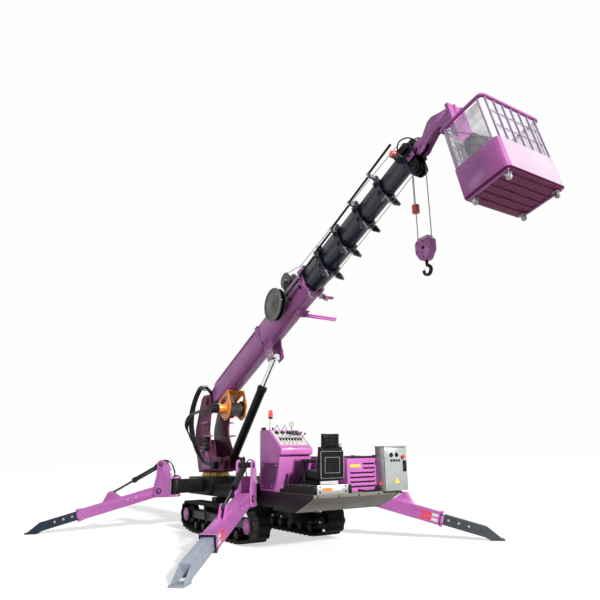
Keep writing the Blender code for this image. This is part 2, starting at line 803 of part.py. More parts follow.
def stage_ear(height, end):
    """The rounded ear on a collar's top, which carries the roller of the cable that runs over the boom."""
    high = height / 2 + COLLAR_LIP
    ear = rounded(
        (
            (end - 0.11, high - 0.01, 0.0),
            (end - 0.01, high - 0.01, 0.0),
            (end - 0.02, high + 0.14, 0.045),
            (end - 0.11, high + 0.14, 0.045),
        )
    )
    return [prism(ear, *sorted((-0.03, -0.06))), cross_pin(end - 0.07, high + 0.09, 0.035, -0.09, -0.02, 8)]


def base_fittings(width, height):
    """The foot cheeks round the pivot, the cylinder's head block and the mounts of the two reels."""
    half = width / 2
    cheek = rounded(
        (
            (-0.10, -0.10, 0.08),
            (BASE_REAR + 0.12, -height / 2 + 0.06, 0.0),
            (BASE_REAR + 0.12, height / 2 - 0.04, 0.0),
            (-0.10, 0.10, 0.08),
        )
    )
    lug = rounded(
        (
            (HEAD_ALONG - 0.17, -height / 2 + 0.05, 0.0),
            (HEAD_ALONG - 0.06, -HEAD_DROP - 0.07, 0.05),
            (HEAD_ALONG + 0.06, -HEAD_DROP - 0.07, 0.05),
            (HEAD_ALONG + 0.17, -height / 2 + 0.05, 0.0),
        )
    )
    pieces = []
    for sign in (-1, 1):
        pieces.append(prism(cheek, *sorted((sign * (half - 0.04), sign * half))))
        pieces.append(prism(lug, *sorted((sign * 0.078, sign * 0.108))))
        pieces.append(cross_pin(HEAD_ALONG, -HEAD_DROP, 0.05, *sorted((sign * 0.078, sign * 0.125))))
    return pieces


def make_boom():
    frame = frame_at(along(PIVOT_X), 0, PIVOT_Z, 0, LUFF)
    for number in range(1, SECTIONS + 1):
        make_section(number, frame)
    return frame


def make_luff_cylinder(boom_frame):
    eye = boom_frame @ Vector((HEAD_ALONG, 0, -HEAD_DROP))
    make_cylinder("luff", Matrix.Identity(4), (along(FOOT_X), FOOT_Z), (eye.x, eye.z), LUFF_CYLINDER)


# %% Winch and reels, on the boom's base section
WINCH_ALONG = 0.66
WINCH_DROP = 0.54
WINCH_HALF = 0.19
WINCH_RADIUS = 0.12
WINCH_FLANGE = 0.165
WINCH_SHAFT = 0.03


def make_winch(frame):
    low = -BASE_HEIGHT / 2 - GAP
    side = rounded(
        (
            (WINCH_ALONG - 0.24, low, 0.0),
            (WINCH_ALONG + 0.24, low, 0.0),
            (WINCH_ALONG + 0.24, -WINCH_DROP - 0.05, 0.05),
            (WINCH_ALONG + 0.08, -WINCH_DROP - 0.22, 0.05),
            (WINCH_ALONG - 0.10, -WINCH_DROP - 0.22, 0.05),
            (WINCH_ALONG - 0.24, -WINCH_DROP - 0.05, 0.05),
        )
    )
    across = (-WINCH_HALF, WINCH_HALF)
    pieces = [block((WINCH_ALONG - 0.24, WINCH_ALONG + 0.24), across, (low - 0.02, low))]
    for sign in (-1, 1):
        pieces.append(prism(side, *sorted((sign * WINCH_HALF, sign * (WINCH_HALF - 0.018)))))
    bar = (WINCH_ALONG - WINCH_FLANGE - 0.05, WINCH_ALONG - WINCH_FLANGE - CLEAR)
    pieces.append(block(bar, across, (-WINCH_DROP - 0.06, -WINCH_DROP)))
    pieces.append(cross_pin(WINCH_ALONG, -WINCH_DROP, 0.09, -WINCH_HALF - 0.16, -WINCH_HALF + 0.01))
    window = rounded(
        (
            (WINCH_ALONG - 0.16, low - 0.05, 0.03),
            (WINCH_ALONG + 0.16, low - 0.05, 0.03),
            (WINCH_ALONG + 0.16, low - 0.17, 0.03),
            (WINCH_ALONG - 0.16, low - 0.17, 0.03),
        )
    )
    cuts = [
        prism(window, -WINCH_HALF - 0.01, WINCH_HALF + 0.01),
        cross_bore(WINCH_ALONG, -WINCH_DROP, WINCH_SHAFT, -WINCH_HALF - 0.05, WINCH_HALF + 0.01),
    ]
    fuse("winch_frame", "orange_paint", pieces, cuts, frame)
    inner = WINCH_HALF - 0.018 - CLEAR
    profile = (
        (-0.03, WINCH_SHAFT),
        (CLEAR, WINCH_SHAFT),
        (CLEAR, WINCH_FLANGE),
        (CLEAR + 0.012, WINCH_FLANGE),
        (CLEAR + 0.012, WINCH_RADIUS),
        (2 * inner + CLEAR - 0.012, WINCH_RADIUS),
        (2 * inner + CLEAR - 0.012, WINCH_FLANGE),
        (2 * inner + CLEAR, WINCH_FLANGE),
        (2 * inner + CLEAR, WINCH_SHAFT),
        (2 * inner + CLEAR + 0.03, WINCH_SHAFT),
    )
    drum = turned(profile, (WINCH_ALONG, -inner - CLEAR, -WINCH_DROP), (0, 1, 0))
    made = fuse("winch_drum", "reel_black", [drum], (), frame)
    move_origin(made, frame @ Vector((WINCH_ALONG, 0, -WINCH_DROP)))


REEL_ALONG = 3.36
REEL_LIFT = 0.07
REEL_RADIUS = 0.30
REEL_WIDTH = 0.10


def make_reels(frame):
    """The big cable reel on the boom's left side, and the small hose drum on its top."""
    half = BASE_WIDTH / 2
    out = -half - 0.06
    hub = [
        (0, 0.05),
        (0.06 - GAP - RUN, 0.05),
    ]
    rim = (
        (0.0, 0.06),
        (0.004, REEL_RADIUS - 0.01),
        (0.012, REEL_RADIUS),
        (0.022, REEL_RADIUS - 0.01),
        (0.022, 0.19),
        (REEL_WIDTH - 0.022, 0.19),
        (REEL_WIDTH - 0.022, REEL_RADIUS - 0.01),
        (REEL_WIDTH - 0.012, REEL_RADIUS),
        (REEL_WIDTH - 0.004, REEL_RADIUS - 0.01),
        (REEL_WIDTH, 0.06),
    )
    stub = turned(hub, (REEL_ALONG, -half - GAP, REEL_LIFT), (0, -1, 0))
    fuse("reel_bracket", "purple_paint", [stub], (), frame)
    disc = turned(rim, (REEL_ALONG, out, REEL_LIFT), (0, -1, 0), 24)
    reel = fuse("cable_reel", "reel_black", [disc], (), frame)
    move_origin(reel, frame @ Vector((REEL_ALONG, out, REEL_LIFT)))


# %% Head, hook and basket
SHEAVE_ALONG = 0.07
SHEAVE_DROP = 0.28
ARM_PIN_ALONG = 0.28
ARM_PIN_DROP = 0.05
ARM_PIN = 0.03
DISC_RADIUS = 0.12


def make_head(frame):
    """The block at the tip, which carries the sheaves and the basket's arm."""
    width, height = section_size(SECTIONS)
    start = section_reach(SECTIONS) + GAP
    half = width / 2
    cheek = rounded(
        (
            (start, height / 2 + 0.02, 0.02),
            (start + SHEAVE_ALONG - 0.07, -SHEAVE_DROP - 0.07, 0.05),
            (start + SHEAVE_ALONG + 0.07, -SHEAVE_DROP - 0.07, 0.05),
            (start + 0.19, 0.02, 0.04),
            (start + 0.16, height / 2 + 0.04, 0.04),
        )
    )
    lug = rounded(
        (
            (start + 0.02, 0.10, 0.0),
            (start + 0.02, -0.08, 0.0),
            (start + ARM_PIN_ALONG + 0.07, -ARM_PIN_DROP - 0.07, 0.06),
            (start + ARM_PIN_ALONG + 0.07, -ARM_PIN_DROP + 0.07, 0.06),
        )
    )
    face = start + 0.03
    pieces = [block((start, face), (-half - 0.02, half + 0.02), (-height / 2 - 0.03, height / 2 + 0.03))]
    pieces.append(prism(lug, -0.05, 0.05))
    for sign in (-1, 1):
        pieces.append(prism(cheek, *sorted((sign * (half - 0.018), sign * half))))
    sheave = start + SHEAVE_ALONG
    pieces.append(cross_pin(sheave, -SHEAVE_DROP, 0.03, -half - 0.015, half + 0.015))
    rim = (
        (-0.02, SHEAVE_RADIUS),
        (-0.009, SHEAVE_GROOVE),
        (0.009, SHEAVE_GROOVE),
        (0.02, SHEAVE_RADIUS),
    )
    for y in (-SHEAVE_SIDE, SHEAVE_SIDE):
        pieces.append(turned(rim, (sheave, y, -SHEAVE_DROP), (0, 1, 0), 16))
    bores = [cross_bore(start + ARM_PIN_ALONG, -ARM_PIN_DROP, ARM_PIN, -0.1, 0.1, LUFF)]
    return fuse("boom_head", "black_steel", pieces, bores, frame)


def make_arm(frame, basket_frame):
    """The fork with two disc flanges that carries the basket, hinged on the boom's head."""
    start = section_reach(SECTIONS) + GAP
    pin = frame @ Vector((start + ARM_PIN_ALONG, 0, -ARM_PIN_DROP))
    level = frame_at(pin.x, 0, pin.z)
    neck = rounded(
        (
            (-0.05, -0.06, 0.03),
            (0.08, -0.08, 0.03),
            (0.28, 0.10, 0.10),
            (0.70, 0.06, 0.0),
            (0.66, 0.26, 0.0),
            (0.20, 0.31, 0.08),
        )
    )
    deep = BASKET_DEPTH / 2
    pieces = []
    for sign in (-1, 1):
        span = sorted((sign * (0.05 + CLEAR), sign * (0.05 + CLEAR + 0.014)))
        pieces.append(prism(neck, *span))
        pieces.append(cross_pin(0, 0, DISC_RADIUS, *span, 20))
    pieces.append(cross_pin(0, 0, ARM_PIN, -0.09, 0.09))
    pieces.append(block((0.26, 0.34), (-0.06, 0.06), (0.15, 0.27)))
    plate = block((-deep - 0.05, -deep - GAP), (-0.16, 0.16), (0.50, 1.64))
    pieces.append((plate, basket_frame))
    pieces.append((block((-deep - 0.13, -deep - 0.04), (-0.07, 0.07), (1.25, 1.60)), basket_frame))
    made = fuse("basket_arm", "purple_paint", pieces, (), level)
    return made


def make_basket():
    level = frame_at(along(BASKET_X), 0, BASKET_Z, 0, BASKET_TILT)
    deep = BASKET_DEPTH / 2
    wide = BASKET_WIDTH / 2
    high = BASKET_HEIGHT
    floor = rounded(
        (
            (-deep, -wide, 0.06),
            (deep, -wide, 0.06),
            (deep, wide, 0.06),
            (-deep, wide, 0.06),
        )
    )
    inner = rounded(
        (
            (-deep + 0.02, -wide + 0.02, 0.05),
            (deep - 0.02, -wide + 0.02, 0.05),
            (deep - 0.02, wide - 0.02, 0.05),
            (-deep + 0.02, wide - 0.02, 0.05),
        )
    )
    pieces = [
        prism(floor, 0.0, 0.05, "Z"),
        prism(floor, 0.04, BASKET_WALL, "Z"),
    ]
    pieces.append(prism(floor, high - 0.035, high, "Z"))
    for x in (-deep + 0.012, deep - 0.012):
        for k in range(7):
            y = -wide + 0.07 + (2 * wide - 0.14) * k / 6
            pieces.append(block((x - 0.009, x + 0.009), (y - 0.009, y + 0.009), (0.04, high - 0.01)))
    for y in (-wide + 0.012, wide - 0.012):
        for x in (-deep + 0.07, deep - 0.07):
            pieces.append(block((x - 0.009, x + 0.009), (y - 0.009, y + 0.009), (0.04, high - 0.01)))
    cuts = [prism(inner, 0.05, high + 0.01, "Z")]
    fuse("basket", "purple_paint", pieces, cuts, level)
    return level


# %% Rear body
def make_tail():
    outline = (
        (along(TAIL_FRONT), TAIL_WEDGE_LOW),
        (along(TAIL_LOW), TAIL_WEDGE_LOW),
        (along(TAIL_REAR), TAIL_WEDGE_HIGH),
        (along(TAIL_REAR), DECK_TOP),
        (along(TAIL_FRONT), DECK_TOP),
    )
    fuse("tail_tray", "grey_paint", [prism(outline, -TAIL_HALF, TAIL_HALF)])
    low = DECK_TOP + GAP
    platform = [
        block((along(4.02), along(TAIL_REAR - 0.03)), (-0.74, HOOD_LEFT - CLEAR), (low, SEAT_PLATFORM)),
        block((along(3.90), along(4.10)), (-0.74, -0.16), (low, low + 0.05)),
    ]
    fuse("seat_platform", "black_steel", platform)
    panel = block(
        (along(TAIL_REAR - 0.03) + GAP, along(TAIL_REAR)), (-0.70, -0.19), (low, SEAT_PLATFORM + 0.01)
    )
    fuse("reflector_panel", "galvanised", [panel])


def make_console():
    """The control console: a leaning top, a desk, a cabinet below it and its foot."""
    low = DECK_TOP + GAP
    side = (
        (along(CONSOLE_FRONT), low),
        (along(3.78), low),
        (along(3.84), DECK_TOP + 0.15),
        (along(DESK_REAR + 0.05), DESK_TOP - 0.247),
        (along(DESK_REAR + 0.05), DESK_TOP - 0.167),
        (along(DESK_REAR), DESK_TOP - 0.127),
        (along(DESK_REAR + 0.09), DESK_TOP - 0.107),
        (along(DESK_REAR + 0.09), DESK_TOP - 0.02),
        (along(DESK_REAR + 0.05), DESK_TOP),
        (along(3.56), CONSOLE_TOP),
        (along(CONSOLE_FRONT), CONSOLE_TOP),
    )
    pieces = [prism(side, CONSOLE_LEFT, CONSOLE_RIGHT)]
    slots = []
    foot, head = DECK_TOP + 0.10, DECK_TOP + 0.23
    for k in range(4):
        y = CONSOLE_LEFT + 0.10 + 0.09 * k
        slot = ((y, foot), (y + 0.022, foot), (y + 0.082, head), (y + 0.06, head))
        slots.append(prism(slot, along(3.76), along(4.0), "X"))
    mast = Vector((along(3.46), CONSOLE_LEFT + 0.10, CONSOLE_TOP - 0.01))
    pole = rod(mast, mast + Vector((0, 0, 0.21)), 0.012)
    cap = turned(
        ((0, 0.034), (0.09, 0.034), (0.115, 0.022), (0.125, 0)),
        mast + Vector((0, 0, 0.20)),
        (0, 0, 1),
        16,
    )
    pieces += [pole, cap]
    return fuse("console", "purple_paint", pieces, [merged(slots)])


def make_seat():
    low = SEAT_PLATFORM + GAP
    half = SEAT_WIDTH / 2
    middle = SEAT_MID
    rear = along(SEAT_REAR)
    back = rounded(
        (
            (rear - 0.14, low + 0.08, 0.03),
            (rear - 0.02, low + 0.06, 0.04),
            (rear + 0.02, low + 0.46, 0.04),
            (rear - 0.07, low + 0.48, 0.03),
        )
    )
    cushion = rounded(
        (
            (rear - 0.55, low + 0.05, 0.03),
            (rear - 0.04, low + 0.03, 0.02),
            (rear - 0.04, low + 0.15, 0.02),
            (rear - 0.55, low + 0.18, 0.05),
        )
    )
    head = rounded(
        (
            (rear - 0.08, low + 0.50, 0.03),
            (rear + 0.01, low + 0.50, 0.03),
            (rear + 0.02, low + 0.71, 0.03),
            (rear - 0.06, low + 0.71, 0.03),
        )
    )
    pieces = [
        prism(cushion, middle - half, middle + half),
        prism(back, middle - half, middle + half),
        prism(head, middle - 0.15, middle + 0.15),
        block((rear - 0.45, rear - 0.12), (middle - 0.18, middle + 0.18), (low, low + 0.06)),
    ]
    for sign in (-1, 1):
        y = middle + sign * 0.07
        pieces.append(rod((rear - 0.025, y, low + 0.44), (rear - 0.025, y, low + 0.54), 0.01))
        side = sorted((middle + sign * (half - 0.05), middle + sign * (half + 0.004)))
        pieces.append(block((rear - 0.45, rear - 0.04), side, (low + 0.30, low + 0.35)))
        pieces.append(block((rear - 0.40, rear - 0.34), side, (low + 0.1, low + 0.32)))
    return fuse("operator_seat", "seat_vinyl", pieces)


def make_hood():
    low = DECK_TOP + GAP
    outline = rounded(
        (
            (along(HOOD_FRONT), low, 0.0),
            (along(HOOD_REAR), low, 0.0),
            (along(HOOD_REAR), HOOD_TOP, 0.03),
            (along(HOOD_FRONT), HOOD_TOP, 0.06),
        )
    )
    slots = []
    depth = (along(HOOD_REAR - 0.02), along(HOOD_REAR) + 0.01)
    for row in range(6):
        z = DECK_TOP + 0.07 + 0.062 * row
        start = HOOD_LEFT + 0.05 if row < 4 else HOOD_LEFT + 0.29
        y = start
        while y + 0.09 < CABINET_LEFT - 0.01:
            slots.append(block(depth, (y, y + 0.09), (z, z + 0.022)))
            y += 0.12
    body = prism(outline, HOOD_LEFT, HOOD_RIGHT)
    return fuse("engine_hood", "purple_paint", [body], [merged(slots)])


def make_cabinet():
    front = along(HOOD_REAR) + GAP
    rear = along(CABINET_REAR - DOOR_THICKNESS) - RUN
    face = along(CABINET_REAR)
    wall = CABINET_WALL
    low = DECK_TOP + GAP
    top = CABINET_TOP
    roof = block((front, face + 0.02), (CABINET_LEFT - 0.01, CABINET_RIGHT + 0.01), (top, top + 0.015))
    shell = [block((front, rear), (CABINET_LEFT, CABINET_RIGHT), (low, top)), roof]
    inside = (CABINET_LEFT + wall, CABINET_RIGHT - wall)
    room = block((front + wall, rear + 0.1), inside, (low + wall, top - wall))
    fuse("electric_cabinet", "galvanised", shell, [room])
    width = (CABINET_LEFT + 0.002, CABINET_RIGHT - 0.002)
    door = block((rear + RUN, face), width, (low + 0.004, top - 0.006))
    knuckles = []
    for z in (low + 0.08, top - 0.15):
        knuckles.append(rod((face, CABINET_LEFT, z), (face, CABINET_LEFT, z + 0.05), 0.007))
    grip = (CABINET_RIGHT - 0.07, CABINET_RIGHT - 0.04)
    handle = block((face - 0.002, face + 0.018), grip, (low + 0.30, low + 0.37))
    made = fuse("cabinet_door", "galvanised", [door, handle] + knuckles)
    move_origin(made, (face, CABINET_LEFT, low))


# %% The hook
def rope_lane():
    """How far from the sheave's axis the rope's middle runs, with its facets clear of the groove."""
    return (SHEAVE_GROOVE + RUN) / cos(pi / 4 / ROPE_STEPS) + ROPE_RADIUS


def rope_fall(side, low):
    """One fall of the hoist rope: a quarter turn in its sheave's groove, then straight down to the block."""
    lane = rope_lane()
    y = side * SHEAVE_SIDE
    arc = []
    for k in range(ROPE_STEPS + 1):
        angle = radians(90 - 90 * k / ROPE_STEPS)
        arc.append((Vector((side * lane * cos(angle), y, lane * sin(angle))), angle))
    rings = [(centre, Vector((side * cos(angle), 0, sin(angle)))) for centre, angle in arc]
    rings.append((Vector((side * lane, y, low)), Vector((side, 0, 0))))
    shape = bmesh.new()
    loops = []
    for centre, outward in rings:
        loop = []
        for i in range(ROPE_SIDES):
            turn = 2 * pi * i / ROPE_SIDES
            spoke = outward * cos(turn) + Vector((0, 1, 0)) * sin(turn)
            loop.append(shape.verts.new(centre + spoke * ROPE_RADIUS))
        loops.append(loop)
    for first, second in zip(loops, loops[1:]):
        for i in range(ROPE_SIDES):
            j = (i + 1) % ROPE_SIDES
            shape.faces.new((first[i], first[j], second[j], second[i]))
    shape.faces.new(loops[0])
    shape.faces.new(loops[-1])
    bmesh.ops.recalc_face_normals(shape, faces=shape.faces)
    return shape


def make_hook(frame):
    """The ropes, the block and the hook that hang from the head's sheaves, as one swinging body."""
    start = section_reach(SECTIONS) + GAP
    top = frame @ Vector((start + SHEAVE_ALONG, 0, -SHEAVE_DROP))
    level = frame_at(top.x, 0, top.z)
    lane = rope_lane()
    block_top = -HOOK_DROP
    block_low = block_top - HOOK_BLOCK
    hook_top = block_low - HOOK_SHANK
    weight = turned(
        ((0, 0.02), (0.02, 0.045), (0.10, 0.045), (0.12, 0.02)),
        (-lane, -SHEAVE_SIDE, -0.62),
        (0, 0, 1),
    )
    across = (-SHEAVE_SIDE - 0.01, SHEAVE_SIDE + 0.01)
    link = block((-lane - 0.01, lane + 0.01), across, (block_top + GAP, block_top + 0.03))
    falls = [rope_fall(side, block_top + 0.02) for side in (-1, 1)]
    ropes = fuse("hoist_ropes", "rope_steel", [link, weight] + falls, (), level)
    cheeks = rounded(
        (
            (-0.14, block_top, 0.03),
            (-0.14, block_top - 0.17, 0.04),
            (-0.06, block_low, 0.04),
            (0.06, block_low, 0.04),
            (0.14, block_top - 0.17, 0.04),
            (0.14, block_top, 0.03),
        )
    )
    body = [prism(cheeks, -0.05, 0.05)]
    body.append(rod((0, 0, block_low + 0.01), (0, 0, hook_top - 0.01), 0.02))
    body.append(hook_shape(hook_top))
    fuse("hook_block", "purple_paint", body, (), level)
    return ropes


def hook_shape(top):
    """A hook's outline: an arc that tapers to its point, seen from the side."""
    centre = top - 0.085
    outer = []
    inner = []
    steps = 9
    for k in range(steps + 1):
        share = k / steps
        angle = radians(95 - 285 * share)
        thick = 0.026 - 0.012 * share
        outer.append(((0.06 + thick) * cos(angle), centre + (0.06 + thick) * sin(angle)))
        inner.append((0.048 * cos(angle), centre + 0.048 * sin(angle)))
    return prism(outer + inner[::-1], -0.018, 0.018)


# %% The whole crane
def make_crane():
    clear_scene()
    make_chassis()
    for side, name in ((-1, "left"), (1, "right")):
        make_track(side, name)
        make_track_frame(side, name)
    make_slew_ring()
    make_tail()
    make_console()
    make_seat()
    make_hood()
    make_cabinet()
    make_legs()
    make_turntable()
    frame = make_boom()
    make_luff_cylinder(frame)
    make_winch(frame)
    make_reels(frame)
    make_head(frame)
    make_hook(frame)
    make_arm(frame, make_basket())


make_crane()
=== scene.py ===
# %% [markdown]
# # A spider crane, dressed
# The solids of the crane come ready made from the CAD model. This script gives every one of them its finish
# and adds what the solids leave out: hoses, ropes, lamps, levers, bolts and clear panels.
# All sizes are in metres, with +X to the machine's rear, +Y to its right side and +Z up.

# %% Load the solids and keep their size
import json
from math import cos, exp, pi, radians, sin, sqrt

import bmesh
import bpy
from mathutils import Matrix, Vector

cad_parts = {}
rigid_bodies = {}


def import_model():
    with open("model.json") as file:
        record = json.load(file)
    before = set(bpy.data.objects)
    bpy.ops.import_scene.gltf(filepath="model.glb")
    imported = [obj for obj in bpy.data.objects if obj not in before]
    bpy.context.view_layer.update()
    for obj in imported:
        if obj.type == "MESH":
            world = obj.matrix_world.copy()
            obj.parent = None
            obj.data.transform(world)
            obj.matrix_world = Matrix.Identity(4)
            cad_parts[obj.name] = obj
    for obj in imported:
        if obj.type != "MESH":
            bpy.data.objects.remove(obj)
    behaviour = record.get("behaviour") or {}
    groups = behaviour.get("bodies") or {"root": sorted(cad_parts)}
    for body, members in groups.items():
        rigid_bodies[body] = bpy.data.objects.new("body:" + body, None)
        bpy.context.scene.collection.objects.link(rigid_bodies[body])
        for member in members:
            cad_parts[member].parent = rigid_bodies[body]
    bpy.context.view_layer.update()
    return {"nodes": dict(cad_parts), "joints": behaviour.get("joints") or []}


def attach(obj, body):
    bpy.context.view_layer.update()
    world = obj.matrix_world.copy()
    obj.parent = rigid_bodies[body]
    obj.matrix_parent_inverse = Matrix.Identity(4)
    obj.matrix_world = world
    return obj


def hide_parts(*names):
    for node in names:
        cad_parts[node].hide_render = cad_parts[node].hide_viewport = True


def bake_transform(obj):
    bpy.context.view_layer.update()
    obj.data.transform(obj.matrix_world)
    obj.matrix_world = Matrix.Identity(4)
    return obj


for old in list(bpy.data.objects):
    bpy.data.objects.remove(old)
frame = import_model()
NODES = frame["nodes"]
JOINTS = {joint["name"]: joint for joint in frame["joints"]}
SLEW = Vector(JOINTS["slew"]["pos_m"])
print(len(NODES), "solids; slewing axis at", [round(c, 3) for c in SLEW])

# %% [markdown]
# Most pieces sit on something tilted: the boom, a leg or the basket. Each of those gets its own frame, a
# matrix whose +X runs along the piece. It is worked out from the joints, so that it agrees with the solids.

# %% Frames of the boom, the basket and the legs
def frame_from(origin, forward, across):
    """A frame with +X forward and +Y across."""
    x = Vector(forward).normalized()
    y = Vector(across).normalized()
    z = x.cross(y)
    made = Matrix((x, y, z)).transposed().to_4x4()
    made.translation = Vector(origin)
    return made


def behind(distance):
    """A place along the machine, from its distance behind the slewing axis."""
    return SLEW.x + distance


# Directions in any frame
REARWARD = (1, 0, 0)
ACROSS = (0, 1, 0)
LEFTWARD = (0, -1, 0)
UP = (0, 0, 1)

WORLD = Matrix.Identity(4)
BOOM = frame_from(JOINTS["luff"]["pos_m"], -Vector(JOINTS["telescope"]["axis"]), ACROSS)
BASKET_TILT = 13.0
BASKET = Matrix.Translation((behind(7.84), 0, 4.12)) @ Matrix.Rotation(radians(-BASKET_TILT), 4, "Y")
LEG_NAMES = ("front_left", "front_right", "rear_left", "rear_right")
LEG = {}
SWING = {}
for leg in LEG_NAMES:
    across = -Vector(JOINTS[leg + "_lift"]["axis"])
    LEG[leg] = frame_from(JOINTS[leg + "_lift"]["pos_m"], JOINTS[leg + "_reach"]["axis"], across)
    foot = Vector(JOINTS[leg + "_swing"]["pos_m"])
    SWING[leg] = frame_from((foot.x, foot.y, 0), across.cross(Vector(UP)), across)
print("boom direction", [round(c, 3) for c in BOOM.to_3x3() @ Vector(REARWARD)])

# %% [markdown]
# The shapes that recur are an outline drawn out along an axis, a turned solid, and a tube along a route.
# Each helper returns a bmesh, and `piece` turns a list of them into one object that rides on a body.

# %% Helpers for shapes
THINNEST = 0.0002


def prism(outline, low, high, axis="Y"):
    """An outline drawn out along an axis, from low to high."""
    place = {
        "X": lambda a, b, t: (t, a, b),
        "Y": lambda a, b, t: (a, t, b),
    }[axis]
    shape = bmesh.new()
    near = [shape.verts.new(place(a, b, low)) for a, b in outline]
    far = [shape.verts.new(place(a, b, high)) for a, b in outline]
    shape.faces.new(near)
    shape.faces.new(reversed(far))
    for i in range(len(outline)):
        j = (i + 1) % len(outline)
        shape.faces.new((near[j], near[i], far[i], far[j]))
    bmesh.ops.recalc_face_normals(shape, faces=shape.faces)
    return shape


def box(x, y, z):
    """A box from a (low, high) pair along each axis."""
    return prism(((x[0], z[0]), (x[1], z[0]), (x[1], z[1]), (x[0], z[1])), y[0], y[1])


def span(sign, near, far):
    """The pair between two distances on one side of the middle, its low end first."""
    return sorted((sign * near, sign * far))


def ring_round(shape, middle, side, other, radius, sides):
    """A ring of points about a middle."""
    ring = []
    for i in range(sides):
        angle = 2 * pi * i / sides
        spoke = side * cos(angle) + other * sin(angle)
        ring.append(shape.verts.new(middle + spoke * radius))
    return ring


def skin(shape, rings):
    """A closed skin over a row of rings."""
    for first, second in zip(rings, rings[1:]):
        for i in range(len(first)):
            j = (i + 1) % len(first)
            shape.faces.new((first[i], first[j], second[j], second[i]))
    shape.faces.new(rings[0])
    shape.faces.new(rings[-1])
    bmesh.ops.recalc_face_normals(shape, faces=shape.faces)
    return shape


def turned(profile, start, direction, sides=24):
    """A solid of revolution from (distance, radius) pairs along a direction."""
    ahead = Vector(direction).normalized()
    side = ahead.orthogonal().normalized()
    other = ahead.cross(side)
    shape = bmesh.new()
    rings = []
    for distance, radius in profile:
        middle = Vector(start) + ahead * distance
        rings.append(ring_round(shape, middle, side, other, max(radius, THINNEST), sides))
    return skin(shape, rings)


def boss(spot, direction, radius, wall, height, top, sides=24):
    """A round boss with a straight wall and a sloped edge round its top."""
    return turned(((0, radius), (wall, radius), (height, top)), spot, direction, sides)


def rod(start, end, radius, sides=16):
    run = Vector(end) - Vector(start)
    return turned(((0, radius), (run.length, radius)), start, run, sides)


def smooth_route(points, steps=8):
    """Points of a Catmull-Rom curve through the given ones."""
    points = [Vector(p) for p in points]
    ends = [points[0] * 2 - points[1]] + points + [points[-1] * 2 - points[-2]]
    route = []
    for i in range(1, len(ends) - 2):
        a, b, c, d = ends[i - 1 : i + 3]
        for k in range(steps):
            t = k / steps
            spot = b * 2 + (c - a) * t + (a * 2 - b * 5 + c * 4 - d) * t * t + (b * 3 - a - c * 3 + d) * t**3
            route.append(spot / 2)
    route.append(points[-1])
    return route


def tube(route, radius, sides=10):
    """A tube along a route, with its rings carried along so that they don't twist."""
    route = [Vector(p) for p in route]
    shape = bmesh.new()
    rings = []
    side = None
    for i, spot in enumerate(route):
        ahead = (route[min(i + 1, len(route) - 1)] - route[max(i - 1, 0)]).normalized()
        if side is None:
            side = ahead.orthogonal()
        side = (side - ahead * side.dot(ahead)).normalized()
        rings.append(ring_round(shape, spot, side, ahead.cross(side), radius, sides))
    return skin(shape, rings)


def hex_bolt(spot, direction, size=0.012):
    """A bolt's head on its washer. Size is the head's radius."""
    base = turned(((0, size * 1.45), (size * 0.25, size * 1.45)), spot, direction, 12)
    top = Vector(spot) + Vector(direction).normalized() * size * 0.25
    head = turned(((0, size), (size * 0.75, size), (size * 0.95, size * 0.8)), top, direction, 6)
    return [base, head]


def placed(name, data):
    """A new object in the scene."""
    made = bpy.data.objects.new(name, data)
    bpy.context.scene.collection.objects.link(made)
    return made


def piece(name, shapes, finish, body, place=WORLD, bevel=0.0, smooth=40):
    """One object from a list of bmesh shapes, with its finish. It rides on a body if one is given."""
    whole = bmesh.new()
    for shape in shapes:
        part = bpy.data.meshes.new("part")
        shape.to_mesh(part)
        whole.from_mesh(part)
        shape.free()
        bpy.data.meshes.remove(part)
    mesh = bpy.data.meshes.new(name)
    whole.to_mesh(mesh)
    whole.free()
    made = placed(name, mesh)
    made.matrix_world = place
    for face in mesh.polygons:
        face.use_smooth = True
    mesh.set_sharp_from_angle(angle=radians(smooth))
    mesh.materials.append(FINISH[finish])
    if bevel:
        soften(made, bevel)
    if body:
        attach(made, body)
    return made


def hose(name, points, radius, body, place=WORLD, steps=None):
    """A hose of its own through the given points, with the given radius."""
    steps = steps or max(3, round(26 / (len(points) - 1)))
    route = smooth_route(points, steps)
    made = piece(name, [tube(route, radius)], "hose_rubber", body, place)
    return made


def soften(made, width):
    """Small rounded edges, which catch the light as real ones do."""
    step = made.modifiers.new("edges", "BEVEL")
    step.width = width
    step.segments = 2
    step.limit_method = "ANGLE"
    step.angle_limit = radians(35)
    step.harden_normals = True


# %% [markdown]
# ## Finishes
# Every finish is a Principled shader with a few procedural nodes. Paint varies a little in colour, is
# dustier low down, and has a fine orange peel under its clear coat. One function builds them all from a row
# of values, because the finishes differ in numbers and not in kind.

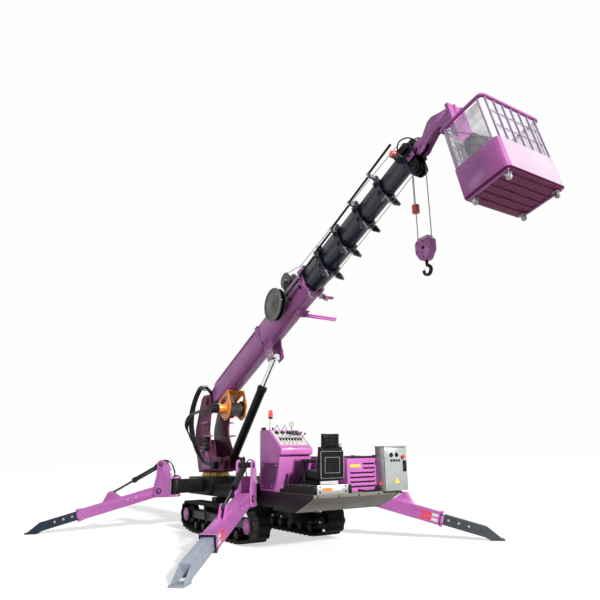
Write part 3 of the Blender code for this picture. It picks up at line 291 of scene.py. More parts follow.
# %% Build the finishes
# Columns: colour, second colour, mottling's scale, its share, metallic, roughness, roughness spread, coat,
# specular level, bump's scale, bump's strength
FINISHES = {
    "orchid_paint": ((0.4, 0.12, 0.37), (0.33, 0.09, 0.3), 2.5, 0.5, 0, 0.36, 0.12, 0.12, 0.22, 260, 0.02),
    "stage_gloss": ((0.006, 0.009, 0.024), (0.01, 0.014, 0.032), 4, 0.5, 0, 0.3, 0.12, 0.15, 0.3, 200, 0.02),
    # The next finish is a darker copy of orchid_paint: painted shade on the front left leg and its swing
    # bracket.
    "orchid_shade": ((0.24, 0.07, 0.23), (0.19, 0.052, 0.18), 2.5, 0.5, 0, 0.36, 0.12, 0.08, 0.2, 260, 0.02),
    # The next finish is a paler copy of the orchid paint: painted light on the basket's rear wall, which
    # faces the sun.
    "orchid_pale": ((0.46, 0.36, 0.455), (0.41, 0.3, 0.41), 2.5, 0.5, 0, 0.3, 0.1, 0.4, 0.5, 260, 0.02),
    # The next finish is the column's darker mauve: partly its own brownish paint, partly painted shade on its
    # dark left side.
    "column_mauve": ((0.16, 0.042, 0.09), (0.11, 0.026, 0.065), 3, 0.6, 0, 0.42, 0.12, 0, 0.12, 260, 0.03),
    "slate_paint": ((0.03, 0.038, 0.046), (0.042, 0.05, 0.06), 5, 0.6, 0, 0.46, 0.12, 0, 0.2, 240, 0.03),
    # The next finish is a darker copy of slate_paint: painted shade on the front legs' sliding parts.
    "slate_dark": ((0.007, 0.013, 0.022), (0.012, 0.019, 0.03), 5, 0.6, 0, 0.46, 0.12, 0, 0.15, 240, 0.03),
    "slide_grey": ((0.23, 0.27, 0.33), (0.17, 0.2, 0.25), 9, 0.6, 0, 0.42, 0.14, 0.1, 0.4, 200, 0.03),
    # The next finish is chrome darkened in its colour: a painted reflection of dark surroundings, for the
    # legs' rods.
    "dark_chrome": ((0.075, 0.075, 0.08), (0.05, 0.05, 0.055), 20, 0.3, 1, 0.16, 0.06, 0, 0.5, 300, 0.004),
    "deck_grey": ((0.14, 0.13, 0.11), (0.1, 0.09, 0.08), 6, 0.6, 0, 0.55, 0.15, 0.1, 0.3, 150, 0.06),
    "black_steel": ((0.005, 0.005, 0.006), (0.011, 0.01, 0.011), 7, 0.5, 0, 0.48, 0.18, 0, 0.12, 180, 0.04),
    # The next finish serves the hood's dark seams, and as painted shade the console's outer left side.
    "dark_violet": ((0.1, 0.03, 0.1), (0.07, 0.02, 0.07), 4, 0.5, 0, 0.4, 0.1, 0.2, 0.4, 200, 0.03),
    "galvanised": ((0.36, 0.39, 0.38), (0.29, 0.32, 0.31), 30, 0.7, 0.6, 0.42, 0.16, 0, 0.5, 90, 0.03),
    "winch_orange": ((0.85, 0.3, 0.03), (0.7, 0.2, 0.02), 6, 0.5, 0, 0.38, 0.12, 0.3, 0.4, 200, 0.03),
    "ring_zinc": ((0.55, 0.4, 0.1), (0.4, 0.27, 0.06), 12, 0.6, 0.75, 0.38, 0.15, 0, 0.5, 120, 0.04),
    "chrome": ((0.78, 0.79, 0.81), (0.72, 0.73, 0.76), 20, 0.3, 1, 0.1, 0.05, 0, 0.5, 300, 0.004),
    "bare_steel": ((0.42, 0.42, 0.43), (0.3, 0.3, 0.31), 24, 0.6, 0.9, 0.36, 0.15, 0, 0.5, 160, 0.04),
    "track_rubber": ((0.004, 0.004, 0.004), (0.01, 0.009, 0.009), 9, 0.5, 0, 0.72, 0.12, 0, 0.1, 220, 0.16),
    "hose_rubber": ((0.003, 0.003, 0.004), (0.007, 0.007, 0.007), 20, 0.5, 0, 0.4, 0.12, 0, 0.16, 500, 0.06),
    "seat_vinyl": ((0.003, 0.003, 0.004), (0.006, 0.006, 0.006), 14, 0.5, 0, 0.44, 0.1, 0, 0.12, 420, 0.14),
    "reel_gloss": ((0.003, 0.003, 0.004), (0.006, 0.006, 0.007), 6, 0.5, 0, 0.16, 0.06, 0.4, 0.4, 200, 0.01),
    "rope_steel": ((0.24, 0.24, 0.24), (0.12, 0.12, 0.12), 60, 0.6, 0.8, 0.42, 0.12, 0, 0.5, 400, 0.2),
    "pale_plate": ((0.44, 0.44, 0.44), (0.39, 0.39, 0.39), 14, 0.5, 0, 0.35, 0.1, 0.1, 0.4, 200, 0.01),
    "yellow_plate": ((0.62, 0.47, 0.04), (0.55, 0.4, 0.03), 14, 0.5, 0, 0.35, 0.1, 0.1, 0.4, 200, 0.01),
    "signal_red": ((0.6, 0.02, 0.015), (0.48, 0.015, 0.015), 14, 0.5, 0, 0.28, 0.08, 0.4, 0.5, 200, 0.01),
    "signal_orange": ((0.75, 0.17, 0.02), (0.65, 0.12, 0.02), 14, 0.5, 0, 0.28, 0.08, 0.4, 0.5, 200, 0.01),
    "caster_white": ((0.5, 0.5, 0.49), (0.4, 0.4, 0.39), 14, 0.5, 0, 0.45, 0.1, 0.1, 0.4, 200, 0.03),
    "pink_block": ((0.5, 0.34, 0.49), (0.42, 0.26, 0.41), 9, 0.5, 0, 0.35, 0.1, 0.2, 0.4, 200, 0.02),
    # The next finish is a pale copy of the orchid paint: painted light on the basket's cage and its bars.
    "cage_pale": ((0.36, 0.27, 0.4), (0.28, 0.19, 0.32), 9, 0.5, 0, 0.3, 0.1, 0.4, 0.5, 200, 0.02),
    "floor_maroon": ((0.2, 0.035, 0.11), (0.15, 0.022, 0.08), 6, 0.5, 0, 0.42, 0.1, 0, 0.15, 200, 0.02),
}
DUST = (0.22, 0.19, 0.16)
DUSTY = ("black_steel", "track_rubber", "slate_paint", "orchid_paint", "deck_grey", "slide_grey")
DUST_HEIGHT = 0.45
DUST_MOST = 0.10


def set_values(node, **values):
    """Sets inputs of a node by name, with a low line for each space."""
    for key, value in values.items():
        node.inputs[key.replace("_", " ")].default_value = value


def node_of(tree, kind, **values):
    made = tree.nodes.new(kind)
    set_values(made, **values)
    return made


# A colour mix shares its sockets' names with a number mix, so they are taken by their places.
FACTOR, FIRST, SECOND, MIXED = 0, 6, 7, 2


def colour_mix(tree):
    made = tree.nodes.new("ShaderNodeMix")
    made.data_type = "RGBA"
    return made


def new_finish(name):
    """A new material with its nodes and its Principled shader."""
    made = bpy.data.materials.new(name)
    made.use_nodes = True
    return made, made.node_tree, made.node_tree.nodes["Principled BSDF"]


def make_finish(name, row):
    """A finish from its row of values."""
    colour, second, scale, share, metallic, rough, spread, coat, specular, bump_scale, bump = row
    made, tree, shader = new_finish(name)
    place = tree.nodes.new("ShaderNodeTexCoord")
    mottle = node_of(tree, "ShaderNodeTexNoise", Scale=scale, Detail=5.0, Roughness=0.6)
    blend = colour_mix(tree)
    blend.inputs[FIRST].default_value = (*colour, 1)
    blend.inputs[SECOND].default_value = (*second, 1)
    level = node_of(tree, "ShaderNodeMapRange", From_Min=0.5 - share / 2, From_Max=0.5 + share / 2)
    shine = node_of(tree, "ShaderNodeMapRange", To_Min=rough - spread / 2, To_Max=rough + spread / 2)
    grain = node_of(tree, "ShaderNodeTexNoise", Scale=bump_scale, Detail=3.0, Roughness=0.5)
    relief = node_of(tree, "ShaderNodeBump", Strength=bump, Distance=0.002)
    link = tree.links.new
    link(place.outputs["Object"], mottle.inputs["Vector"])
    link(place.outputs["Object"], grain.inputs["Vector"])
    link(mottle.outputs["Fac"], level.inputs["Value"])
    link(level.outputs["Result"], blend.inputs[FACTOR])
    link(mottle.outputs["Fac"], shine.inputs["Value"])
    link(shine.outputs["Result"], shader.inputs["Roughness"])
    link(grain.outputs["Fac"], relief.inputs["Height"])
    link(relief.outputs["Normal"], shader.inputs["Normal"])
    set_values(shader, Metallic=metallic, Coat_Weight=coat, Coat_Roughness=0.08, Specular_IOR_Level=specular)
    top = blend.outputs[MIXED]
    if name in DUSTY:
        top = add_dust(tree, top)
    link(top, shader.inputs["Base Color"])
    return made


def add_dust(tree, colour):
    """Dry dust that thins out with height and gathers in patches."""
    link = tree.links.new
    spot = tree.nodes.new("ShaderNodeNewGeometry")
    split = tree.nodes.new("ShaderNodeSeparateXYZ")
    height = node_of(tree, "ShaderNodeMapRange", From_Max=DUST_HEIGHT, To_Min=DUST_MOST, To_Max=0.0)
    patches = node_of(tree, "ShaderNodeTexNoise", Scale=11.0, Detail=6.0, Roughness=0.65)
    amount = tree.nodes.new("ShaderNodeMath")
    amount.operation = "MULTIPLY"
    dusted = colour_mix(tree)
    dusted.inputs[SECOND].default_value = (*DUST, 1)
    link(spot.outputs["Position"], split.inputs["Vector"])
    link(spot.outputs["Position"], patches.inputs["Vector"])
    link(split.outputs["Z"], height.inputs["Value"])
    link(height.outputs["Result"], amount.inputs[0])
    link(patches.outputs["Fac"], amount.inputs[1])
    link(amount.outputs["Value"], dusted.inputs[FACTOR])
    link(colour, dusted.inputs[FIRST])
    return dusted.outputs[MIXED]


FINISH = {name: make_finish(name, row) for name, row in FINISHES.items()}
print(len(FINISH), "opaque finishes")

# %% [markdown]
# A thin clear sheet doesn't bend what is seen through it, so the clear panel is a hazy sheet with little
# alpha, rather than solid glass. Lamp glass is glossy, finely ribbed and glows a little.

# %% Clear and lit finishes
def make_clear_panel():
    made, tree, shader = new_finish("clear_panel")
    haze = node_of(tree, "ShaderNodeTexNoise", Scale=3.0, Detail=5.0, Roughness=0.6)
    amount = node_of(tree, "ShaderNodeMapRange", From_Min=0.35, From_Max=0.65, To_Min=0.16, To_Max=0.48)
    tree.links.new(haze.outputs["Fac"], amount.inputs["Value"])
    tree.links.new(amount.outputs["Result"], shader.inputs["Alpha"])
    set_values(shader, Base_Color=(0.50, 0.50, 0.56, 1), Roughness=0.06, Specular_IOR_Level=0.8)
    return made


def make_lamp_glass(name, colour, glow):
    made, tree, shader = new_finish(name)
    ribs = node_of(tree, "ShaderNodeTexWave", Scale=60.0, Distortion=0.4)
    relief = node_of(tree, "ShaderNodeBump", Strength=0.25, Distance=0.001)
    tree.links.new(ribs.outputs["Fac"], relief.inputs["Height"])
    tree.links.new(relief.outputs["Normal"], shader.inputs["Normal"])
    whole = (*colour, 1)
    set_values(shader, Base_Color=whole, Roughness=0.12, Coat_Weight=0.8)
    set_values(shader, Emission_Color=whole, Emission_Strength=glow)
    return made


FINISH["clear_panel"] = make_clear_panel()
FINISH["lamp_amber"] = make_lamp_glass("lamp_amber", (0.95, 0.30, 0.05), 0.15)
FINISH["lamp_red"] = make_lamp_glass("lamp_red", (0.80, 0.03, 0.03), 0.12)
print(len(FINISH), "finishes in all")

# %% [markdown]
# ## Camera, floor and light
# The camera stands low beside the machine's rear left corner and looks up along it. The floor and the
# background are nearly white, as in a catalogue picture. A low sun, a soft side lamp and dim light all round
# light the crane.

# %% Camera, floor, lamps
CAMERA_BEHIND = 11.265
CAMERA_SIDE = -5.074
CAMERA_HEIGHT = 1.357
CAMERA_TURN = 57.2237
CAMERA_PITCH = 0.272
CAMERA_ROLL = -0.016
CAMERA_LENS = 33.192
CAMERA_SENSOR = 36
CAMERA_FAR = 200
FLOOR_REACH = 60
FLOOR_DROP = 0.001
FLOOR_COLOUR = 0.40
FLOOR_GLOW = 0.60
WORLD_LIGHT = 0.30
WORLD_SEEN = 1.0
SUN_SPOT = (12, 0, 7.2)
SUN_AIM = (0, 0, 1.5)
SUN_POWER = 6.3
SUN_SPREAD = 4
SIDE_SPOT = (-4, -12, 6)
SIDE_AIM = (-1, 0, 2)
SIDE_SIZE = 5
SIDE_POWER = 300


def place_camera():
    turn = radians(CAMERA_TURN)
    ahead = Vector((-sin(turn) * cos(CAMERA_PITCH), cos(turn) * cos(CAMERA_PITCH), sin(CAMERA_PITCH)))
    right = Vector((cos(turn), sin(turn), 0))
    up = right.cross(ahead)
    leaned = right * cos(CAMERA_ROLL) + up * sin(CAMERA_ROLL)
    risen = up * cos(CAMERA_ROLL) - right * sin(CAMERA_ROLL)
    data = bpy.data.cameras.new("photo_camera")
    data.lens = CAMERA_LENS
    data.sensor_width = CAMERA_SENSOR
    data.clip_end = CAMERA_FAR
    camera = placed("photo_camera", data)
    place = Matrix((leaned, risen, -ahead)).transposed().to_4x4()
    place.translation = Vector((behind(CAMERA_BEHIND), CAMERA_SIDE, CAMERA_HEIGHT))
    camera.matrix_world = place
    bpy.context.scene.camera = camera
    return camera


def seen_share(tree):
    """One for the rays that the camera, gloss and clear panels see by, and nothing for diffuse light."""
    path = tree.nodes.new("ShaderNodeLightPath")
    total = path.outputs["Is Camera Ray"]
    for ray in ("Is Glossy Ray", "Is Transmission Ray"):
        most = tree.nodes.new("ShaderNodeMath")
        most.operation = "MAXIMUM"
        tree.links.new(total, most.inputs[0])
        tree.links.new(path.outputs[ray], most.inputs[1])
        total = most.outputs[0]
    return total


def seen_white(name, colour, glow):
    """A surface that keeps the object's shadow but shows nearly white to the camera and in reflections."""
    made, tree, shader = new_finish(name)
    speckle = node_of(tree, "ShaderNodeTexNoise", Scale=2.0, Detail=4.0, Roughness=0.5)
    level = node_of(tree, "ShaderNodeMapRange", To_Min=colour - 0.01, To_Max=colour + 0.01)
    light = node_of(tree, "ShaderNodeMapRange", To_Min=0.0, To_Max=glow)
    tree.links.new(speckle.outputs["Fac"], level.inputs["Value"])
    tree.links.new(level.outputs["Result"], shader.inputs["Base Color"])
    tree.links.new(seen_share(tree), light.inputs["Value"])
    tree.links.new(light.outputs["Result"], shader.inputs["Emission Strength"])
    set_values(shader, Roughness=0.9, Specular_IOR_Level=0.1, Emission_Color=(1, 1, 1, 1))
    return made


def add_lamp(name, kind, spot, aim, **values):
    """A lamp that shines from a spot towards its aim."""
    data = bpy.data.lights.new(name, kind)
    for key, value in values.items():
        setattr(data, key, value)
    lamp = placed(name, data)
    lamp.location = spot
    lamp.rotation_mode = "QUATERNION"
    lamp.rotation_quaternion = (Vector(aim) - Vector(spot)).to_track_quat("-Z", "Y")


def make_floor():
    """A wide sheet just below the ground, in the white that keeps shadows."""
    mesh = bpy.data.meshes.new("studio_floor")
    far = FLOOR_REACH
    corners = [(-far, -far, 0), (far, -far, 0), (far, far, 0), (-far, far, 0)]
    mesh.from_pydata(corners, [], [(0, 1, 2, 3)])
    mesh.materials.append(seen_white("floor_white", FLOOR_COLOUR, FLOOR_GLOW))
    studio_floor = placed("studio_floor", mesh)
    studio_floor.location.z = -FLOOR_DROP


def make_world(level, seen):
    """Dim blue-grey light all round, seen as white by the camera, by gloss and through clear panels."""
    world = bpy.data.worlds.new("studio")
    bpy.context.scene.world = world
    world.use_nodes = True
    tree = world.node_tree
    tree.nodes.clear()
    plain = node_of(tree, "ShaderNodeBackground", Color=(0.94, 0.96, 1, 1), Strength=level)
    white = node_of(tree, "ShaderNodeBackground", Color=(0.99, 0.99, 0.985, 1), Strength=seen)
    mix = tree.nodes.new("ShaderNodeMixShader")
    out = tree.nodes.new("ShaderNodeOutputWorld")
    tree.links.new(seen_share(tree), mix.inputs["Fac"])
    tree.links.new(plain.outputs[0], mix.inputs[1])
    tree.links.new(white.outputs[0], mix.inputs[2])
    tree.links.new(mix.outputs[0], out.inputs["Surface"])


bpy.context.scene.view_settings.view_transform = "Standard"
camera = place_camera()
make_world(WORLD_LIGHT, WORLD_SEEN)
make_floor()
sunlight = (1.0, 0.97, 0.93)
add_lamp("sun", "SUN", SUN_SPOT, SUN_AIM, energy=SUN_POWER, angle=radians(SUN_SPREAD), color=sunlight)
add_lamp("side", "AREA", SIDE_SPOT, SIDE_AIM, shape="DISK", size=SIDE_SIZE, energy=SIDE_POWER)
print("camera at", [round(c, 2) for c in camera.location])

# %% [markdown]
# ## Dressing the solids
# The solids come with plain edges. A weld joins the split corners of the import, and a small bevel rounds the
# edges, so that every one of them takes the finish of its real piece.

# %% Finishes and edges of the solids
NODE_FINISH = {
    "chassis_frame": "black_steel",
    "slew_ring": "ring_zinc",
    "tail_tray": "deck_grey",
    "seat_platform": "black_steel",
    "reflector_panel": "galvanised",
    "console": "orchid_paint",
    "operator_seat": "seat_vinyl",
    "engine_hood": "orchid_paint",
    "electric_cabinet": "galvanised",
    "cabinet_door": "galvanised",
    # The turntable's darker mauve is partly its own paint and partly painted shade.
    "turntable": "column_mauve",
    "boom_base": "orchid_paint",
    "boom_head": "black_steel",
    "winch_frame": "winch_orange",
    "winch_drum": "black_steel",
    "reel_bracket": "black_steel",
    "cable_reel": "reel_gloss",
    "luff_cylinder": "black_steel",
    "luff_rod": "chrome",
    "hoist_ropes": "rope_steel",
    "hook_block": "orchid_paint",
    "basket_arm": "orchid_paint",
    "basket": "orchid_paint",
    "rear_left_leg_slide": "slide_grey",
    # The front left leg and its bracket take the darker copy of the orchid paint, which is painted shade.
    "front_left_leg": "orchid_shade",
    "front_left_swing_bracket": "orchid_shade",
    # The front legs' sliding parts take the darker copy of the slate paint, which is painted shade.
    "front_left_leg_slide": "slate_dark",
    "front_right_leg_slide": "slate_dark",
}
NODE_ENDINGS = {
    "_swing_bracket": "orchid_paint",
    "_leg": "orchid_paint",
    "_leg_slide": "slate_paint",
    "_leg_cylinder": "black_steel",
    # The legs' rods take the darkened chrome, a painted dark reflection.
    "_leg_rod": "dark_chrome",
}
EDGE = 0.004


def finish_for(node):
    if node in NODE_FINISH:
        return NODE_FINISH[node]
    if node.startswith("track_frame"):
        return "black_steel"
    if node.startswith("track_"):
        return "track_rubber"
    if node.startswith("boom_stage"):
        return "stage_gloss"
    for ending, finish in NODE_ENDINGS.items():
        if node.endswith(ending):
            return finish
    return "black_steel"


def dress(node, finish):
    made = NODES[node]
    made.data.materials.clear()
    made.data.materials.append(FINISH[finish])
    weld = made.modifiers.new("weld", "WELD")
    weld.merge_threshold = 0.00002
    for face in made.data.polygons:
        face.use_smooth = True
    soften(made, EDGE)


def second_finish(node, finish, place, chosen):
    """Gives another finish to the faces of a solid whose middle, seen from a frame, is chosen."""
    made = NODES[node]
    made.data.materials.append(FINISH[finish])
    here = place.inverted() @ made.matrix_world
    for face in made.data.polygons:
        if chosen(here @ face.center):
            face.material_index = len(made.data.materials) - 1


for node in NODES:
    dress(node, finish_for(node))
# Where the second finishes begin, in the frames that they are seen from
WALL_TOP = 0.402
RAIL_LOW = 0.98
WALL_REAR = 0.3185
FLOOR_EDGE = (0.315, 0.505)
LEG_COLLAR = 1.554
HOOK_SHANK = -1.315
TRAY_SHADE_SIDE = 0.76
HOOD_SHADE_BAND = (behind(4.67), behind(4.699))
HOOK_TOP = Matrix.Translation(JOINTS["hook_hang"]["pos_m"])


def on_floor(spot):
    return spot.z < 0.001 and abs(spot.x) < FLOOR_EDGE[0] and abs(spot.y) < FLOOR_EDGE[1]


# The cage above the basket's wall takes the pale copy of the orchid paint, which is painted light.
second_finish("basket", "cage_pale", BASKET, lambda spot: WALL_TOP < spot.z < RAIL_LOW)
# The basket's rear wall below the cage takes the paler copy of the orchid paint, which is painted light.
second_finish("basket", "orchid_pale", BASKET, lambda spot: spot.x > WALL_REAR and 0.03 < spot.z < WALL_TOP)
second_finish("basket", "floor_maroon", BASKET, on_floor)
for leg in LEG_NAMES:
    second_finish(leg + "_leg", "black_steel", LEG[leg], lambda spot: spot.x > LEG_COLLAR)
second_finish("hook_block", "black_steel", HOOK_TOP, lambda spot: spot.z < HOOK_SHANK)
# The tray's outer sides are made black: painted shade on the tray's sides.
second_finish("tail_tray", "black_steel", WORLD, lambda spot: abs(spot.y) > TRAY_SHADE_SIDE)
# The hood's faces just in front of its rear face are made dark: painted shade in its rear recesses.
second_finish("engine_hood", "track_rubber", WORLD, lambda spot: HOOD_SHADE_BAND[0] < spot.x < HOOD_SHADE_BAND[1])
print(len(NODES), "solids dressed")

# %% [markdown]
# ## The boom
# Each section slides out of the one before it. Its collar carries bolted wear pads, and the hoist rope runs
# outside, below the boom through the wedge-shaped guides, with a second line above it. All of this is placed
# in the boom's own frame, so that it tilts with it.

# %% Sizes of the boom, in its own frame
BASE_WIDTH = 0.36
BASE_HEIGHT = 0.48
SECTION_STEP = 0.036
BASE_REACH = 4.18
SECTION_OUT = 0.54
COLLAR = 0.10
COLLAR_LIP = 0.022
PAD_THICK = 0.008
WIPER_GAP = 0.006
GUIDE_SHARE = 0.92
ROPE_LANE = 0.102
SECTIONS = 6
BOOM_BODY = {number: f"stage_{number}" for number in range(2, SECTIONS + 1)}
BOOM_BODY[1] = "boom"


def section(number):
    """Half width, half height and reach of a boom section."""
    step = SECTION_STEP * (number - 1)
    return (BASE_WIDTH - step) / 2, (BASE_HEIGHT - step) / 2, BASE_REACH + SECTION_OUT * (number - 1)


HEAD = section(SECTIONS)[2]
print("boom head at", round(HEAD, 2), "m along the boom")


# %% Collars with their pads and bolts
def collar_details(number):
    half, high, end = section(number)
    side = half + COLLAR_LIP
    shapes = []
    for sign in (-1, 1):
        for z in (-high * 0.45, high * 0.55):
            along = (end - COLLAR + 0.015, end - 0.015)
            shapes.append(box(along, span(sign, side, side + PAD_THICK), (z - 0.035, z + 0.035)))
            for x in (end - COLLAR + 0.032, end - 0.032):
                shapes += hex_bolt((x, sign * (side + PAD_THICK), z), (0, sign, 0), 0.009)
    for y in (-half * 0.5, half * 0.5):
        shapes += hex_bolt((end - COLLAR / 2, y, high + COLLAR_LIP), UP, 0.010)
    finish = "orchid_paint" if number == 1 else "black_steel"
    piece(f"collar_pads_{number}", shapes, finish, BOOM_BODY[number], BOOM, 0.0015)


def front_lip(number):
    """The black wiper round the mouth of a section, where the next one slides."""
    half, high, _ = section(number + 1)
    wide, top, low = half + WIPER_GAP, high + WIPER_GAP, -high * 0.5
    outline = [(-wide, low), (-wide, top), (wide, top), (wide, low)]
    mouth = section(number)[2]
    shapes = []
    for (a, b), (c, d) in zip(outline, outline[1:]):
        y = (min(a, c) - 0.003, max(a, c) + 0.003)
        z = (min(b, d) - 0.003, max(b, d) + 0.003)
        shapes.append(box((mouth, mouth + 0.006), y, z))
    piece(f"wiper_{number}", shapes, "black_steel", BOOM_BODY[number], BOOM)


for number in range(1, SECTIONS):
    collar_details(number)
    front_lip(number)
print(SECTIONS - 1, "collars with pads and wipers")

# %% [markdown]
# The ropes along the boom are held taut between a drum and a sheave. They are modelled in the rest pose, one
# stretch for each section, so that every stretch stays with the section whose guide holds it.

# %% Ropes and rods along the boom
def guide_spot(number):
    """Where the lower rope passes a section's guide."""
    _, high, end = section(number)
    return Vector((end, 0, -high - COLLAR_LIP - 0.085))


def ear_spot(number):
    """Where the upper line passes over the roller in a collar's ear."""
    _, high, end = section(number)
    return Vector((end - 0.07, -0.098, high + COLLAR_LIP + 0.13))


def stretches(name, spots, radius, finish):
    """A taut line through the given spots, one stretch for each section that it passes."""
    for number, (start, end) in enumerate(zip(spots, spots[1:]), 1):
        piece(f"{name}_{number}", [rod(start, end, radius, 10)], finish, BOOM_BODY[number], BOOM)


def boom_lines():
    """The hoist rope below the boom and the line over its top."""
    low = [Vector((0.80, -0.15, -0.50))] + [guide_spot(number) for number in range(1, SECTIONS)]
    low[1].y = -0.15
    stretches("hoist_line", low + [Vector((HEAD + 0.05, 0, -0.24))], 0.006, "rope_steel")
    high = [Vector((3.70, -0.10, 0.57))] + [ear_spot(number) for number in range(1, SECTIONS)]
    stretches("upper_line", high + [Vector((HEAD + 0.04, -0.098, 0.28))], 0.005, "hose_rubber")


def boom_cable():
    """The thick cable along the boom's left side, with a clamp at each collar."""
    y = -BASE_WIDTH / 2 - COLLAR_LIP - 0.030
    start = 3.56
    for number in range(1, SECTIONS + 1):
        half, _, end = section(number)
        z = 0.02 + 0.040 * number
        stretch = [rod((start, y, z), (end, y, z), 0.0185, 10)]
        piece(f"boom_cable_{number}", stretch, "hose_rubber", BOOM_BODY[number], BOOM)
        start = end
        if number < SECTIONS:
            out = (y - 0.024, -half - COLLAR_LIP + 0.002)
            clamp = [box((end - 0.04, end - 0.01), out, (z - 0.022, z + 0.062))]
            clamp += hex_bolt((end - 0.025, y - 0.024, z + 0.02), LEFTWARD, 0.008)
            piece(f"cable_clamp_{number}", clamp, "bare_steel", BOOM_BODY[number], BOOM, 0.002)


def guide_edges(number):
    """The pale edges of the rope guide under a collar, with a lane left open in its middle."""
    half, high, end = section(number)
    low = -high - COLLAR_LIP
    wide = half * GUIDE_SHARE
    front = (
        (end - 0.012, low + 0.02),
        (end + 0.006, low + 0.02),
        (end + 0.042, low - 0.138),
        (end - 0.008, low - 0.142),
        (end - 0.006, low - 0.122),
        (end + 0.020, low - 0.118),
    )
    x, z = end + 0.012, low - 0.122
    edges = []
    for sign in (-1, 1):
        edges.append(prism(front, *span(sign, wide, wide + 0.010)))
        edges.append(rod((x, sign * ROPE_LANE, z), (x, sign * (wide + 0.01), z), 0.016, 12))
        flange = span(sign, ROPE_LANE, wide)
        edges.append(box((end - 0.105, end + 0.018), flange, (low - 0.012, low - 0.0005)))
    piece(f"guide_edges_{number}", edges, "pale_plate", BOOM_BODY[number], BOOM, 0.002)


def base_guide():
    """The base's own guide: two cheeks and an arm that reaches out to the right."""
    half, high, end = section(1)
    low = -high - COLLAR_LIP
    wide = half * GUIDE_SHARE
    wedge = ((end - 0.10, low), (end - 0.01, low), (end + 0.03, low - 0.14), (end, low - 0.14))
    cheeks = [prism(wedge, *span(sign, wide - 0.007, wide)) for sign in (-1, 1)]
    cheeks.append(box((end - 0.04, end + 0.02), (wide, wide + 0.17), (low - 0.05, low - 0.03)))
    piece("base_guide", cheeks, "orchid_paint", BOOM_BODY[1], BOOM, 0.002)


def ear_roller(number):
    """The grooved roller in a collar's ear."""
    _, high, end = section(number)
    groove = ((-0.0125, 0.036), (-0.006, 0.028), (0.006, 0.028), (0.0125, 0.036))
    roller = turned(groove, (end - 0.07, -0.0785, high + COLLAR_LIP + 0.09), ACROSS)
    piece(f"ear_roller_{number}", [roller], "bare_steel", BOOM_BODY[number], BOOM)


def rope_guides():
    for number in range(1, SECTIONS):
        guide_edges(number)
        if number == 1:
            base_guide()
        ear_roller(number)


def rest_bar():
    """The bar across the boom's underside that it is parked on."""
    low = -BASE_HEIGHT / 2
    across = [box((3.57, 3.62), (0.02, 0.78), (low - 0.035, low - 0.012))]
    across.append(box((3.50, 3.69), (-0.10, 0.16), (low - 0.014, low - 0.001)))
    across.append(box((3.585, 3.605), (0.02, 0.76), (low - 0.075, low - 0.03)))
    piece("rest_bar", across, "orchid_paint", "boom", BOOM, 0.003)


boom_lines()
boom_cable()
rope_guides()
rest_bar()
print("ropes and guides along the boom")

# %% [markdown]
# Two reels sit on the boom's base. The large one on the left keeps the cable to the head taut, the small one
# on top the line to the basket. A thin rod along the left side measures how far the boom is out.

# %% Reels and the length rod
REEL_ALONG = 3.36
REEL_LIFT = 0.07
DRUM_ALONG = 3.64
BAND = (2.36, 2.48)


def reel_details():
    """The big reel's outer face is a smooth pressed dish with a rolled rim."""
    out = -BASE_WIDTH / 2 - 0.16
    dish = (
        (0.004, 0.296),
        (-0.004, 0.302),
        (-0.012, 0.296),
        (-0.010, 0.282),
        (-0.002, 0.262),
        (-0.006, 0.20),
        (-0.014, 0.12),
        (-0.018, 0.06),
        (-0.030, 0.052),
        (-0.032, 0.03),
    )
    face = turned(dish, (REEL_ALONG, out, REEL_LIFT), ACROSS, 64)
    piece("reel_dish", [face], "reel_gloss", "reel", BOOM)
    bolts = []
    for k in range(3):
        angle = 2 * pi * k / 3 + 0.4
        spot = (REEL_ALONG + 0.20 * cos(angle), out - 0.006, REEL_LIFT + 0.20 * sin(angle))
        bolts += hex_bolt(spot, LEFTWARD, 0.011)
    piece("reel_bolts", bolts, "bare_steel", "reel", BOOM, 0.001)
    wound = ((-0.006, 0.20), (-0.004, 0.206), (0.004, 0.206), (0.006, 0.20))
    turns = []
    for k in range(5):
        turns.append(turned(wound, (REEL_ALONG, out + 0.028 + 0.011 * k, REEL_LIFT), ACROSS, 40))
    piece("wound_cable", turns, "hose_rubber", "reel", BOOM)


def small_drum():
    """The second, smaller drum on the boom's top, between two cheeks."""
    z = BASE_HEIGHT / 2 + 0.185
    y = -0.07
    half = ((0.064, 0.115), (0.068, 0.15), (0.078, 0.158), (0.085, 0.15), (0.085, 0.05))
    profile = [(-a, b) for a, b in reversed(half)] + list(half)
    cap = turned(((0, 0.055), (0.02, 0.05), (0.026, 0.03)), (DRUM_ALONG, y - 0.085, z), LEFTWARD)
    drum = [turned(profile, (DRUM_ALONG, y, z), ACROSS, 40), cap]
    piece("hose_drum", drum, "reel_gloss", "boom", BOOM, 0.001)
    outline = (
        (DRUM_ALONG - 0.10, BASE_HEIGHT / 2 - 0.01),
        (DRUM_ALONG + 0.10, BASE_HEIGHT / 2 - 0.01),
        (DRUM_ALONG + 0.03, z + 0.03),
        (DRUM_ALONG - 0.03, z + 0.03),
    )
    cheeks = [prism(outline, side, side + 0.006) for side in (y - 0.098, y + 0.092)]
    piece("hose_drum_mount", cheeks, "black_steel", "boom", BOOM, 0.0015)


def length_rod():
    y = -BASE_WIDTH / 2 - 0.035
    shapes = [rod((3.68, y, -0.06), (4.06, y, -0.05), 0.011, 12)]
    for x, z in ((3.70, -0.06), (4.04, -0.05)):
        shapes.append(box((x - 0.02, x + 0.02), (y - 0.015, -BASE_WIDTH / 2 + 0.002), (z - 0.02, z + 0.02)))
    piece("length_rod", shapes, "black_steel", "boom", BOOM, 0.001)


